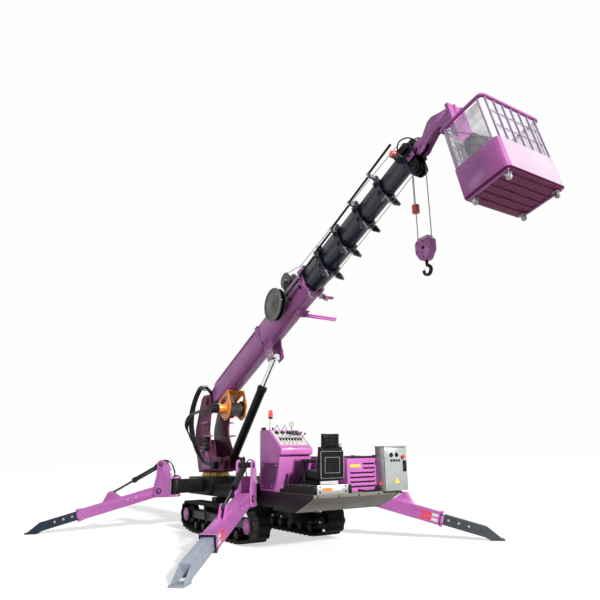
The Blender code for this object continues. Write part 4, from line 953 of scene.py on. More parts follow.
def base_band():
    """The welded band and the ribs on the base's flat sides."""
    half, high = BASE_WIDTH / 2, BASE_HEIGHT / 2
    shapes = []
    for sign in (-1, 1):
        y = span(sign, half - 0.002, half + 0.010)
        shapes.append(box(BAND, y, (-0.20, 0.21)))
        shapes.append(box((0.46, BAND[0]), y, (0.19, 0.215)))
    shapes.append(box(BAND, (-half - 0.010, half + 0.010), (high - 0.002, high + 0.010)))
    piece("base_bands", shapes, "orchid_paint", "boom", BOOM, 0.003)


def luff_pin_block():
    """The pale block with the pin where the luffing rod meets the boom."""
    plate = ((2.44, -0.36), (2.68, -0.36), (2.66, -0.56), (2.46, -0.56))
    shapes = []
    bolts = []
    for sign in (-1, 1):
        face = sign * 0.122
        shapes.append(prism(plate, *span(sign, 0.109, 0.122)))
        shapes.append(boss((2.56, face, -0.48), (0, sign, 0), 0.06, 0.012, 0.018, 0.05, 28))
        for x, z in ((2.48, -0.39), (2.64, -0.39), (2.49, -0.53), (2.63, -0.53)):
            bolts += hex_bolt((x, face, z), (0, sign, 0), 0.009)
    piece("luff_pin_block", shapes, "pink_block", "boom", BOOM, 0.004)
    piece("luff_pin_bolts", bolts, "bare_steel", "boom", BOOM)


reel_details()
small_drum()
length_rod()
base_band()
luff_pin_block()
print("reels, rod and bands")

# %% [markdown]
# ## The head, the hook and the basket
# The head is a crowd of small things: bolts, a switch, a red lamp and hoses that run on to the basket.

# %% Head details
SHEAVE_ALONG = 0.07
SHEAVE_DROP = 0.28


def head_details():
    half, high, end = section(SECTIONS)
    shapes = []
    for sign in (-1, 1):
        for x, z in ((end + 0.06, 0.10), (end + 0.12, 0.02), (end + 0.05, -0.12)):
            shapes += hex_bolt((x, sign * half, z), (0, sign, 0), 0.010)
        axle = (end + SHEAVE_ALONG, sign * half, -SHEAVE_DROP)
        shapes.append(boss(axle, (0, sign, 0), 0.045, 0.012, 0.018, 0.03))
    shapes.append(box((end - 0.02, end + 0.14), (-half - 0.05, -half - 0.004), (0.06, 0.17)))
    shapes.append(box((end + 0.02, end + 0.20), (half * 0.1, half * 0.9), (high + 0.02, high + 0.12)))
    piece("head_fittings", shapes, "black_steel", "stage_6", BOOM, 0.002)
    facing = (-0.3, -1, 0.25)
    glass = ((0, 0.035), (0.01, 0.05), (0.05, 0.055), (0.085, 0.05), (0.10, 0.02))
    piece("head_lamp", [turned(glass, (end - 0.05, -half - 0.06, 0.12), facing)], "lamp_red", "stage_6", BOOM)
    rim = turned(((-0.02, 0.04), (0, 0.058), (0.02, 0.058)), (end - 0.05, -half - 0.055, 0.12), facing)
    piece("head_lamp_rim", [rim], "black_steel", "stage_6", BOOM)
    winder = [
        box((end - 0.095, end + 0.01), (-half - 0.09, -half - COLLAR_LIP), (0.00, 0.09)),
        turned(((0, 0.03), (0.06, 0.03)), (end - 0.045, -half - 0.09, 0.045), LEFTWARD, 20),
    ]
    piece("limit_switch", winder, "slate_paint", "stage_6", BOOM, 0.004)
    small = []
    for sign in (-1, 1):
        small.append(box((end + 0.05, end + 0.19), span(sign, half + 0.02, half + 0.035), (-0.14, -0.06)))
    piece("head_brackets", small, "orchid_paint", "stage_6", BOOM, 0.003)


def head_hoses():
    half, high, _ = section(SECTIONS)
    side = -half - 0.03
    routes = (
        ((-0.10, -0.06, high + 0.03), (0.04, -0.10, 0.30), (0.20, -0.09, 0.22), (0.27, -0.07, 0.06)),
        ((-0.10, 0.05, high + 0.03), (0.06, 0.10, 0.34), (0.24, 0.09, 0.25), (0.30, 0.06, 0.08)),
        ((-0.05, side, 0.05), (0.04, side - 0.05, -0.05), (0.16, -0.10, -0.10), (0.24, -0.07, -0.03)),
    )
    for number, route in enumerate(routes, 1):
        hose(f"head_hose_{number}", [(HEAD + x, y, z) for x, y, z in route], 0.010, "stage_6", BOOM)


head_details()
head_hoses()
print("boom head dressed")

# %% The hook block and what hangs beside it
BLOCK_DROP = 1.02
CHAIN_ALONG = -0.0875


def hook_details():
    level = Matrix.Translation(BOOM @ Vector((HEAD + 0.0003 + SHEAVE_ALONG, 0, -SHEAVE_DROP)))
    drop = -BLOCK_DROP
    shapes = []
    for sign in (-1, 1):
        for x, z in ((-0.10, -0.03), (0.0, -0.03), (0.10, -0.03), (-0.11, -0.15), (0.11, -0.15), (0, -0.25)):
            shapes += hex_bolt((x, sign * 0.05, drop + z), (0, sign, 0), 0.007)
        shapes.append(boss((0, sign * 0.05, drop - 0.12), (0, sign, 0), 0.022, 0.008, 0.012, 0.014))
    piece("block_bolts", shapes, "black_steel", "hook", level, 0.001)
    profile = ((0, 0.03), (0.012, 0.052), (0.12, 0.052), (0.13, 0.03))
    weight = turned(profile, (CHAIN_ALONG, -0.035, -0.625), UP, 28)
    piece("limit_weight", [weight], "signal_red", "hook", level)
    links = []
    for k in range(16):
        side = Vector(REARWARD if k % 2 else ACROSS)
        middle = Vector((CHAIN_ALONG, -0.050, -0.10 - 0.032 * k))
        turn = [2 * pi * i / 12 for i in range(13)]
        route = [middle + side * 0.009 * cos(a) + Vector((0, 0, 0.021 * sin(a))) for a in turn]
        links.append(tube(route, 0.0035, 6))
    piece("weight_chain", links, "pale_plate", "hook", level)
    latch = rod((-0.045, 0, drop - 0.39), (-0.062, 0, drop - 0.45), 0.006, 8)
    piece("hook_latch", [latch], "bare_steel", "hook", level)


hook_details()
print("hook block dressed")

# %% [markdown]
# The basket is a welded tray with a cage above it. Clear panels close the upper half of the cage, a rail runs
# round its top, and four small casters below carry it when it stands on the ground.

# %% Sizes of the basket
DEEP = 0.64 / 2
WIDE = 1.02 / 2
HIGH = 1.02
WALL = 0.40
RAIL_CORNER = 0.06


# %% Panels, bars, rail and casters
def basket_panels():
    """Clear sheets that close the upper half of the cage on all four sides."""
    high = (WALL + 0.01, HIGH - 0.05)
    shapes = []
    for sign in (-1, 1):
        shapes.append(box(span(sign, DEEP - 0.024, DEEP - 0.028), (-WIDE + 0.07, WIDE - 0.07), high))
        shapes.append(box((-DEEP + 0.07, DEEP - 0.07), span(sign, WIDE - 0.024, WIDE - 0.028), high))
    piece("clear_panels", shapes, "clear_panel", "basket", BASKET)


def basket_bars():
    """The thin level bars of the cage on its long sides, and one brace across each short side."""
    shapes = []
    inset = 0.012
    for z in (WALL + 0.19, WALL + 0.40):
        for sign in (-1, 1):
            x = sign * (DEEP - inset)
            shapes.append(rod((x, -WIDE + 0.07, z), (x, WIDE - 0.07, z), 0.006, 8))
    for sign in (-1, 1):
        y = sign * (WIDE - inset)
        shapes.append(rod((-DEEP + 0.07, y, HIGH - 0.05), (DEEP - 0.07, y, WALL + 0.01), 0.008, 8))
    # The bars take the pale copy of the orchid paint, which is painted light.
    piece("cage_bars", shapes, "cage_pale", "basket", BASKET)


def basket_floor():
    """The maroon underside with its grooves, the frame below it and four casters."""
    sheet = [box((-DEEP + 0.03, DEEP - 0.03), (-WIDE + 0.03, WIDE - 0.03), (-0.012, -0.001))]
    piece("floor_sheet", sheet, "floor_maroon", "basket", BASKET, 0.004)
    ribs = []
    for k in range(5):
        x = -DEEP + 0.10 + (2 * DEEP - 0.20) * k / 4
        ribs.append(box((x - 0.014, x + 0.014), (-WIDE + 0.06, WIDE - 0.06), (-0.026, -0.010)))
    piece("floor_ribs", ribs, "floor_maroon", "basket", BASKET, 0.006)
    rims = []
    for y in (-WIDE + 0.05, WIDE - 0.05):
        rims.append(box((-DEEP + 0.04, DEEP - 0.04), (y - 0.014, y + 0.014), (-0.03, -0.001)))
    piece("floor_rims", rims, "orchid_paint", "basket", BASKET, 0.003)
    for i, x in enumerate((-DEEP + 0.09, DEEP - 0.09)):
        for k, y in enumerate((-WIDE + 0.09, WIDE - 0.09)):
            caster(f"caster_{2 * i + k + 1}", x, y)


def caster(name, x, y):
    plate = box((x - 0.035, x + 0.035), (y - 0.035, y + 0.035), (-0.034, -0.026))
    side = ((x - 0.028, -0.034), (x + 0.028, -0.034), (x + 0.014, -0.082), (x - 0.014, -0.082))
    fork = [prism(side, *sorted((y + sign * 0.018, y + sign * 0.023))) for sign in (-1, 1)]
    neck = turned(((0, 0.02), (0.008, 0.024)), (x, y, -0.036), (0, 0, -1), 20)
    piece(name + "_fork", [plate, neck] + fork, "bare_steel", "basket", BASKET, 0.001)
    tread = ((-0.014, 0.026), (-0.012, 0.033), (0, 0.036), (0.012, 0.033), (0.014, 0.026))
    middle = (x, y, -0.076)
    tyre = turned(tread, middle, ACROSS)
    hub = turned(((-0.016, 0.012), (0.016, 0.012)), middle, ACROSS, 16)
    piece(name, [tyre, hub], "caster_white", "basket", BASKET)


def basket_rail():
    """A tube rail with rounded corners round the top."""
    outline = ((-DEEP, -WIDE), (DEEP, -WIDE), (DEEP, WIDE), (-DEEP, WIDE))
    corners = [Vector((a, b, HIGH - 0.018)) for a, b in outline]
    route = []
    for i, here in enumerate(corners):
        first = here + (corners[i - 1] - here).normalized() * RAIL_CORNER
        last = here + (corners[(i + 1) % 4] - here).normalized() * RAIL_CORNER
        for k in range(7):
            t = k / 6
            route.append(first * (1 - t) ** 2 + here * 2 * t * (1 - t) + last * t * t)
    route.append(route[0])
    piece("top_rail", [tube(route, 0.018, 12)], "orchid_paint", "basket", BASKET)


def control_box():
    """The basket's own controls: a box below the rail with four levers."""
    shapes = [box((-DEEP + 0.04, -DEEP + 0.20), (-0.16, 0.16), (HIGH - 0.24, HIGH - 0.06))]
    piece("basket_controls", shapes, "deck_grey", "basket", BASKET, 0.01)
    lever = ((0, 0.016), (0.02, 0.014), (0.022, 0.006), (0.055, 0.006), (0.06, 0.012), (0.07, 0.008))
    knobs = [turned(lever, (-DEEP + 0.12, y, HIGH - 0.06), UP, 16) for y in (-0.10, -0.03, 0.04, 0.11)]
    piece("basket_levers", knobs, "black_steel", "basket", BASKET)


basket_panels()
basket_bars()
basket_floor()
basket_rail()
control_box()
print("basket dressed")

# %% [markdown]
# ## The upper works
# The leaning column carries the boom's foot, the winch and a thick bundle of hoses. The hoses leave the
# swivel above the slewing ring, rise along the column's left side and loop over the boom's pivot.

# %% Hoses of the column
COLUMN_HOSES = 4
MOTOR_HOSES = 5


def column_hose_row(k):
    """How far left a thick hose leaves the swivel. Every second one sits further out."""
    return -0.27 - 0.028 * (k % 2)


def column_hoses():
    """Four thick hoses from the swivel up the column, round behind the pivot and on to the boom."""
    for k in range(COLUMN_HOSES):
        y = column_hose_row(k)
        back = 0.045 * k
        route = (
            (behind(0.42), y, 1.18),
            (behind(0.05), y - 0.03, 1.24),
            (behind(-0.42 - back * 0.4), y, 1.52),
            (behind(-0.72 - back), y + 0.01, 2.02),
            (behind(-0.66 - back), y + 0.02, 2.44),
            (behind(-0.36 - back * 0.5), y + 0.03, 2.76 + back * 0.4),
            (behind(-0.04), y + 0.04, 2.74 + back * 0.4),
            (behind(0.16), y + 0.06, 2.62 + 0.02 * k),
        )
        made = hose(f"column_hose_{k + 1}", route, 0.021, None, steps=5)
        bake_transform(made)


def motor_hoses():
    """Five thin hoses from the valve low on the column, in a loop behind it, to the winch's motor."""
    port = BOOM @ Vector((0.585, -0.368, -0.52))
    for k in range(MOTOR_HOSES):
        out = 0.045 * k
        route = (
            (behind(0.02), -0.262, 1.50 + 0.05 * k),
            (behind(-0.24), -0.290 - 0.010 * k, 1.52 + 0.05 * k),
            (behind(-0.62 - out), -0.33, 1.69 + 0.045 * k),
            (behind(-0.80 - out), -0.35, 1.96 + 0.02 * k),
            (behind(-0.58 - out), -0.36, 2.19 + 0.01 * k),
            (behind(-0.12), -0.375, 2.25 + 0.012 * k),
            (behind(0.42), -0.385 + 0.004 * k, port.z - 0.075 + 0.022 * k),
            (port.x, -0.372, port.z - 0.05 + 0.02 * k),
        )
        made = hose(f"motor_hose_{k + 1}", route, 0.010, None)
        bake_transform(made)


def hose_ends():
    """Crimped ends with hexagon nuts where the hoses meet their blocks."""
    shapes = []
    for k in range(COLUMN_HOSES):
        y = column_hose_row(k)
        shapes.append(rod((behind(0.42), y, 1.18), (behind(0.47), y, 1.165), 0.026, 6))
    for k in range(MOTOR_HOSES):
        z = 1.50 + 0.05 * k
        shapes.append(rod((behind(0.02), -0.262, z), (behind(-0.05), -0.268, z), 0.015, 6))
    piece("hose_ends", shapes, "bare_steel", "upperworks", bevel=0.001)


def valve_blocks():
    """The swivel's outlet and the valve block on the column's left side."""
    shapes = [
        box((behind(0.44), behind(0.62)), (-0.335, -0.238), (1.11, 1.24)),
        box((behind(0.01), behind(0.15)), (-0.285, -0.236), (1.46, 1.76)),
    ]
    for z in (1.49, 1.57, 1.65, 1.73):
        shapes.append(boss((behind(0.10), -0.285, z), LEFTWARD, 0.018, 0.04, 0.045, 0.012, 12))
    piece("valve_blocks", shapes, "black_steel", "upperworks", bevel=0.004)


def hose_clamp():
    along, across = (behind(-0.10), behind(0.02)), (-0.345, -0.235)
    shapes = [
        box(along, across, (2.72, 2.735)),
        box(along, across, (2.80, 2.83)),
        rod((behind(-0.04), -0.29, 2.70), (behind(-0.04), -0.29, 2.86), 0.006, 8),
    ]
    piece("hose_clamp", shapes, "galvanised", "upperworks", bevel=0.003)


column_hoses()
motor_hoses()
hose_ends()
valve_blocks()
hose_clamp()
print("column hoses in place")


# %% Plates and bolts of the column
def column_details():
    bolts = []
    for i in range(20):
        angle = 2 * pi * i / 20
        bolts += hex_bolt((SLEW.x + 0.335 * cos(angle), 0.335 * sin(angle), 1.09), UP, 0.009)
    piece("flange_bolts", bolts, "bare_steel", "upperworks")
    pins = []
    for sign in (-1, 1):
        for x, z, radius in ((behind(-0.02), 2.50, 0.075), (behind(0.80), 1.27, 0.06)):
            low = z - radius
            pins.append(boss((x, sign * 0.236, z), (0, sign, 0), radius, 0.012, 0.016, radius - 0.006, 28))
            pins.append(box((x - 0.02, x + 0.02), span(sign, 0.25, 0.262), (low - 0.02, z + 0.01)))
            pins += hex_bolt((x, sign * 0.262, low - 0.002), (0, sign, 0), 0.008)
    piece("pin_keepers", pins, "black_steel", "upperworks", bevel=0.0015)
    plate = [box((behind(-0.30), behind(-0.20)), (-0.2385, -0.2355), (1.44, 1.56))]
    piece("column_plate", plate, "pale_plate", "upperworks", bevel=0.001)
    rib = ((behind(-0.20), 1.09), (behind(0.30), 1.09), (behind(0.16), 1.34), (behind(0.02), 1.50))
    ribs = []
    for sign in (-1, 1):
        y = span(sign, 0.234, 0.300)
        ribs.append(prism(rib, *span(sign, 0.236, 0.250)))
        ribs.append(box((behind(-0.16), behind(0.20)), y, (2.02, 2.05)))
        ribs.append(box((behind(-0.05), behind(0.32)), y, (1.74, 1.77)))
    piece("column_ribs", ribs, "orchid_paint", "upperworks", bevel=0.003)


column_details()
print("column plates and bolts")

# %% [markdown]
# The winch hangs under the boom's foot: an orange frame, a black drum with its rope wound on in tidy turns,
# and a hydraulic motor on the left side.

# %% Winch: rope turns and motor
def winch_details():
    along, drop = 0.66, -0.54
    wound = ((-0.008, 0.121), (-0.004, 0.1275), (0.004, 0.1275), (0.008, 0.121))
    count = 17
    turns = [turned(wound, (along, -0.135 + 0.27 * k / (count - 1), drop), ACROSS, 32) for k in range(count)]
    piece("wound_rope", turns, "rope_steel", "winch", BOOM)
    profile = ((0, 0.085), (0.02, 0.095), (0.05, 0.095), (0.06, 0.07), (0.13, 0.07), (0.145, 0.055))
    motor = [
        turned(profile, (along, -0.352, drop), LEFTWARD, 28),
        box((along - 0.06, along + 0.06), (-0.44, -0.38), (drop - 0.02, drop + 0.13)),
    ]
    for k in range(6):
        angle = 2 * pi * k / 6
        motor += hex_bolt((along + 0.078 * cos(angle), -0.402, drop + 0.078 * sin(angle)), LEFTWARD, 0.009)
    piece("winch_motor", motor, "black_steel", "boom", BOOM, 0.002)
    stub = [boss((along - 0.19, 0.02, drop - 0.05), (-0.3, 0, -1), 0.05, 0.05, 0.055, 0.04, 20)]
    stub.append(box((along - 0.225, along - 0.175), (-0.09, 0.09), (drop - 0.075, drop - 0.06)))
    piece("winch_brake", stub, "signal_red", "boom", BOOM, 0.003)
    bolts = []
    for sign in (-1, 1):
        for x, z in ((-0.2, -0.28), (0.2, -0.28), (-0.2, -0.55), (0.2, -0.55), (-0.07, -0.72), (0.05, -0.72)):
            bolts += hex_bolt((along + x, sign * 0.19, z), (0, sign, 0), 0.009)
    piece("winch_bolts", bolts, "bare_steel", "boom", BOOM)


winch_details()
print("winch dressed")

# %% [markdown]
# ## The operator's place
# The console has a sloped panel with a row of hydraulic levers and round gauges. A warning beacon stands on a
# pole at its outer end, with a mirror and two work lamps beside it.

# %% Sizes of the rear body
CONSOLE_LEFT = -0.74
CONSOLE_RIGHT = -0.186
DECK_TOP = 0.83
DESK_TOP = 1.467
CONSOLE_TOP = 1.73


# %% Levers, gauges and lamps of the console
def sloped_panel():
    """A frame whose +X runs down the console's sloped panel and whose +Z stands off it."""
    top = Vector((behind(3.56), 0, CONSOLE_TOP))
    low = Vector((behind(3.92), 0, DESK_TOP))
    return frame_from(top, low - top, ACROSS)


SLOPE = sloped_panel()
SLOPE_LENGTH = 0.446


def console_panel():
    """The pale sheet with its gauges, the load display and the strip that the levers stand in."""
    left, right = CONSOLE_LEFT, CONSOLE_RIGHT
    plate = [box((0.03, SLOPE_LENGTH - 0.04), (left + 0.03, right - 0.03), (-0.002, 0.006))]
    piece("control_panel", plate, "pale_plate", "chassis", SLOPE, 0.003)
    rim = ((0, 0.036), (0.012, 0.036), (0.016, 0.031), (0.012, 0.029))
    gauges = []
    faces = []
    for k in range(3):
        y = left + 0.11 + 0.10 * k
        gauges.append(turned(rim, (0.09, y, 0.006), UP, 28))
        faces.append(turned(((0, 0.030), (0.009, 0.030)), (0.09, y, 0.006), UP, 28))
        gauges.append(box((0.088, 0.108), (y - 0.0015, y + 0.0015), (0.015, 0.017)))
    piece("gauge_rims", gauges, "black_steel", "chassis", SLOPE)
    piece("gauge_faces", faces, "caster_white", "chassis", SLOPE)
    screen = [box((0.05, 0.15), (right - 0.20, right - 0.05), (0.006, 0.022))]
    piece("load_display", screen, "reel_gloss", "chassis", SLOPE, 0.003)
    strip = [box((0.21, 0.33), (left + 0.06, right - 0.06), (0.006, 0.009))]
    piece("lever_row", strip, "pale_plate", "chassis", SLOPE, 0.003)


def console_levers():
    """Eight levers with rubber gaiters and round knobs, and four red buttons."""
    gaiter = ((0, 0.019), (0.008, 0.016), (0.012, 0.017), (0.03, 0.008))
    ball = ((-0.012, 0.006), (-0.008, 0.012), (0.004, 0.015), (0.016, 0.012), (0.022, 0.005))
    levers = []
    gaiters = []
    knobs = []
    for k in range(8):
        y = CONSOLE_LEFT + 0.09 + 0.052 * k
        tilt = Vector((0.05 if k % 3 else 0.02, 0, 0.14))
        foot = Vector((0.27, y, 0.008))
        levers.append(rod(foot, foot + tilt, 0.0055, 8))
        gaiters.append(turned(gaiter, foot, UP, 14))
        gaiters.append(box((0.215, 0.325), (y - 0.006, y + 0.006), (0.008, 0.0105)))
        knobs.append(turned(ball, foot + tilt, tilt, 16))
    piece("levers", levers, "bare_steel", "chassis", SLOPE)
    piece("lever_gaiters", gaiters, "hose_rubber", "chassis", SLOPE)
    piece("lever_knobs", knobs, "reel_gloss", "chassis", SLOPE)
    spots = [(0.375, CONSOLE_LEFT + 0.12 + 0.07 * k, 0.004) for k in range(4)]
    buttons = [boss(spot, UP, 0.012, 0.010, 0.013, 0.009, 16) for spot in spots]
    piece("console_buttons", buttons, "signal_red", "chassis", SLOPE)


def beacon():
    """A red warning lamp on a pale pole."""
    x, y = behind(3.46), CONSOLE_LEFT + 0.10
    top = CONSOLE_TOP + 0.19
    pole = ((0, 0.03), (0.012, 0.03), (0.018, 0.019), (0.178, 0.019))
    rim = turned(((0, 0.036), (0.022, 0.038), (0.026, 0.034)), (x, y, top - 0.01), UP)
    piece("beacon_base", [rim], "black_steel", "chassis", bevel=0.001)
    piece("beacon_pole", [turned(pole, (x, y, CONSOLE_TOP), UP, 20)], "caster_white", "chassis", bevel=0.001)
    profile = ((0.014, 0.0352), (0.05, 0.037), (0.09, 0.036), (0.112, 0.028), (0.126, 0.010))
    piece("beacon_glass", [turned(profile, (x, y, top), UP, 28)], "lamp_red", "chassis")


def console_top_gear():
    """The mirror, two small lamps and the low guards on the console's top."""
    z = CONSOLE_TOP
    x = behind(3.40)
    guard = []
    for y in (CONSOLE_RIGHT - 0.16, CONSOLE_RIGHT - 0.30):
        guard.append(tube([(x, y - 0.05, z), (x, y, z + 0.09), (x, y + 0.05, z), (x, y - 0.05, z)], 0.006, 8))
    piece("top_guards", guard, "black_steel", "chassis")
    lens = ((0, 0.02), (0.012, 0.024), (0.016, 0.02))
    lamps = []
    for y in (CONSOLE_LEFT + 0.03, CONSOLE_LEFT + 0.17):
        lamps.append(box((behind(3.33), behind(3.39)), (y - 0.025, y + 0.025), (z, z + 0.045)))
        lamps.append(turned(lens, (behind(3.39), y, z + 0.024), REARWARD, 20))
    piece("small_lamps", lamps, "black_steel", "chassis", bevel=0.002)
    x, y = behind(3.42), CONSOLE_RIGHT - 0.04
    shell = ((-0.012, 0.03), (-0.004, 0.042), (0, 0.044), (0.004, 0.044))
    facing = (1, -0.3, 0)
    back = [rod((x, y, z), (x, y, z + 0.07), 0.006, 10), turned(shell, (x, y, z + 0.10), facing, 28)]
    piece("mirror_back", back, "black_steel", "chassis")
    glass = turned(((0.004, 0.040), (0.006, 0.040)), (x, y, z + 0.10), facing, 28)
    piece("mirror_glass", [glass], "chrome", "chassis")


def console_cabinet():
    """The door's black handle, and a dark violet sheet over the cabinet's outer side under the desk, which is
    painted shade.
    """
    x, z = behind(3.89), 1.17
    near, far = CONSOLE_LEFT + 0.12, CONSOLE_LEFT + 0.34
    handle = [rod((x, near, z), (x, far, z), 0.010, 12)]
    handle += [rod((x, y, z), (x - 0.07, y, z), 0.008, 10) for y in (near, far)]
    piece("door_handle", handle, "black_steel", "chassis")
    # The dark violet sheet over the console's left side is painted shade on the side away from the sun.
    side = (
        (behind(3.36), DECK_TOP + 0.03),
        (behind(3.72), DECK_TOP + 0.03),
        (behind(3.80), 1.00),
        (behind(3.86), 1.24),
        (behind(3.36), 1.24),
    )
    face = CONSOLE_LEFT - 0.006
    piece("console_side", [prism(side, face, CONSOLE_LEFT - 0.0005)], "dark_violet", "chassis", bevel=0.002)
    bolts = []
    for a, b in ((3.40, 0.90), (3.68, 0.90), (3.40, 1.20), (3.80, 1.20)):
        bolts += hex_bolt((behind(a), face, b), LEFTWARD, 0.008)
    piece("side_bolts", bolts, "bare_steel", "chassis")


console_panel()
console_levers()
beacon()
console_top_gear()
console_cabinet()
print("console dressed")

# %% [markdown]
# The seat is a crowned cushion, a backrest with a shell and piping, a headrest and two armrests. Each pad
# starts a little small and is swollen by a short cloth simulation with some pressure and no gravity, as real
# filling swells vinyl. No point may move further than a few millimetres, so the pad stays within its solid.
# The sewn channels come afterwards, because the remesh would close them.

# %% The seat's pads
SEAT_REAR = behind(4.70)
SEAT_MID = -0.363
SEAT_LOW = 0.9403
PAD_STEPS = 10
PAD_VOXEL = 0.006
PAD_PRESSURE = 4.0
PAD_FRAMES = 20
PAD_MOST = 0.006
SEAM_WIDTH = 0.007
SEAM_DEPTH = 0.005


def settled(made):
    """The mesh as its modifiers leave it, with the modifiers taken off."""
    graph = bpy.context.evaluated_depsgraph_get()
    mesh = bpy.data.meshes.new_from_object(made.evaluated_get(graph))
    made.modifiers.clear()
    made.data = mesh


def swell(made):
    """Fills a pad: an even mesh is blown up as cloth, and each of its points moves a little at most."""
    even = made.modifiers.new("even", "REMESH")
    even.mode = "VOXEL"
    even.voxel_size = PAD_VOXEL
    settled(made)
    cloth = made.modifiers.new("fill", "CLOTH")
    cloth.settings.use_pressure = True
    cloth.settings.uniform_pressure_force = PAD_PRESSURE
    cloth.settings.effector_weights.gravity = 0
    for frame_number in range(1, PAD_FRAMES + 1):
        bpy.context.scene.frame_set(frame_number)
    graph = bpy.context.evaluated_depsgraph_get()
    blown = [vertex.co.copy() for vertex in made.evaluated_get(graph).data.vertices]
    made.modifiers.clear()
    bpy.context.scene.frame_set(1)
    for vertex, spot in zip(made.data.vertices, blown):
        shift = spot - vertex.co
        if shift.length > PAD_MOST:
            shift *= PAD_MOST / shift.length
        vertex.co += shift


def sew(made, along, count):
    """Presses sewn channels across a pad."""
    for vertex in made.data.vertices:
        for k in range(1, count + 1):
            seam = along * (k / (count + 1) - 0.5)
            press = exp(-(((vertex.co.x - seam) / SEAM_WIDTH) ** 2))
            vertex.co.z -= SEAM_DEPTH * press * (1 if vertex.co.z > 0 else -1)


def pad_shape(along, across, thick, crown):
    """A grid of points on both sides of a pad, drawn in at its edges and swollen in its middle."""
    steps = PAD_STEPS
    shape = bmesh.new()
    rows = {}
    for face in (-1, 1):
        for i in range(steps + 1):
            for k in range(steps + 1):
                u, v = i / steps * 2 - 1, k / steps * 2 - 1
                round_off = sqrt(max((1 - u**6) * (1 - v**6), 0))
                lift = thick / 2 * (0.55 + 0.45 * round_off)
                lift += crown * (1 - u * u) * (1 - v * v)
                pinch = 1 - 0.035 * (1 - round_off)
                spot = (u * along / 2 * pinch, v * across / 2 * pinch, face * lift)
                rows[face, i, k] = shape.verts.new(spot)
    for face in (-1, 1):
        for i in range(steps):
            for k in range(steps):
                spots = ((i, k), (i + 1, k), (i + 1, k + 1), (i, k + 1))
                ring = [rows[face, a, b] for a, b in spots]
                shape.faces.new(ring if face > 0 else ring[::-1])
    border = [(i, 0) for i in range(steps)] + [(steps, k) for k in range(steps)]
    border += [(i, steps) for i in range(steps, 0, -1)] + [(0, k) for k in range(steps, 0, -1)]
    for a, b in zip(border, border[1:] + border[:1]):
        shape.faces.new((rows[-1, *a], rows[-1, *b], rows[1, *b], rows[1, *a]))
    bmesh.ops.recalc_face_normals(shape, faces=shape.faces)
    return shape


def pad(name, size, place, crown, grooves=0):
    """A padded block of the seat, a little smaller than its size so that it can swell."""
    along, across, thick = (side - 0.007 for side in size)
    made = piece(name, [pad_shape(along, across, thick, crown)], "seat_vinyl", "chassis", place, smooth=180)
    swell(made)
    sew(made, along, grooves)
    for face in made.data.polygons:
        face.use_smooth = True
    surface = made.modifiers.new("smooth", "SUBSURF")
    surface.levels = 1
    surface.render_levels = 1
    return made


def lean(x, z, tilt):
    """A frame in the seat's middle, tilted so that its +X rises by some degrees."""
    return Matrix.Translation((x, SEAT_MID, z)) @ Matrix.Rotation(radians(-tilt), 4, "Y")


def seat_pads():
    """The cushion, the backrest and the headrest."""
    place = lean(SEAT_REAR - 0.29, SEAT_LOW + 0.125, -4)
    cushion = pad("seat_cushion", (0.50, 0.44, 0.12), place, 0.012, grooves=2)
    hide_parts("operator_seat")
    pad("backrest", (0.48, 0.42, 0.10), lean(SEAT_REAR - 0.055, 1.23, 83), 0.012, grooves=2)
    pad("headrest", (0.215, 0.315, 0.080), lean(SEAT_REAR - 0.028, 1.535, 86), 0.010)


def seat_shell():
    """The backrest's shell, with a raised panel and piping on its rear. The piping is pale bare steel, a
    painted highlight for the glints along the vinyl piping.
    """
    shell = (
        (SEAT_REAR - 0.06, SEAT_LOW + 0.08),
        (SEAT_REAR - 0.005, SEAT_LOW + 0.06),
        (SEAT_REAR + 0.016, 1.40),
        (SEAT_REAR - 0.012, 1.42),
    )
    raised = (
        (SEAT_REAR - 0.01, SEAT_LOW + 0.14),
        (SEAT_REAR + 0.012, SEAT_LOW + 0.14),
        (SEAT_REAR + 0.019, 1.33),
        (SEAT_REAR - 0.01, 1.33),
    )
    parts = [prism(shell, SEAT_MID - 0.20, SEAT_MID + 0.20), prism(raised, SEAT_MID - 0.13, SEAT_MID + 0.13)]
    piece("seat_shell", parts, "seat_vinyl", "chassis", bevel=0.010)
    piping = []
    for half, low, high in ((0.125, SEAT_LOW + 0.16, 1.31), (0.195, SEAT_LOW + 0.09, 1.39)):
        corners = [
            Vector((SEAT_REAR + 0.012, SEAT_MID - half, low)),
            Vector((SEAT_REAR + 0.012, SEAT_MID + half, low)),
            Vector((SEAT_REAR + 0.022, SEAT_MID + half, high)),
            Vector((SEAT_REAR + 0.022, SEAT_MID - half, high)),
        ]
        for start, end in zip(corners, corners[1:] + corners[:1]):
            piping.append(rod(start, end, 0.0035, 8))
    # The piping's pale bare steel is a painted highlight, standing in for glints along the vinyl piping.
    piece("seat_piping", piping, "bare_steel", "chassis")


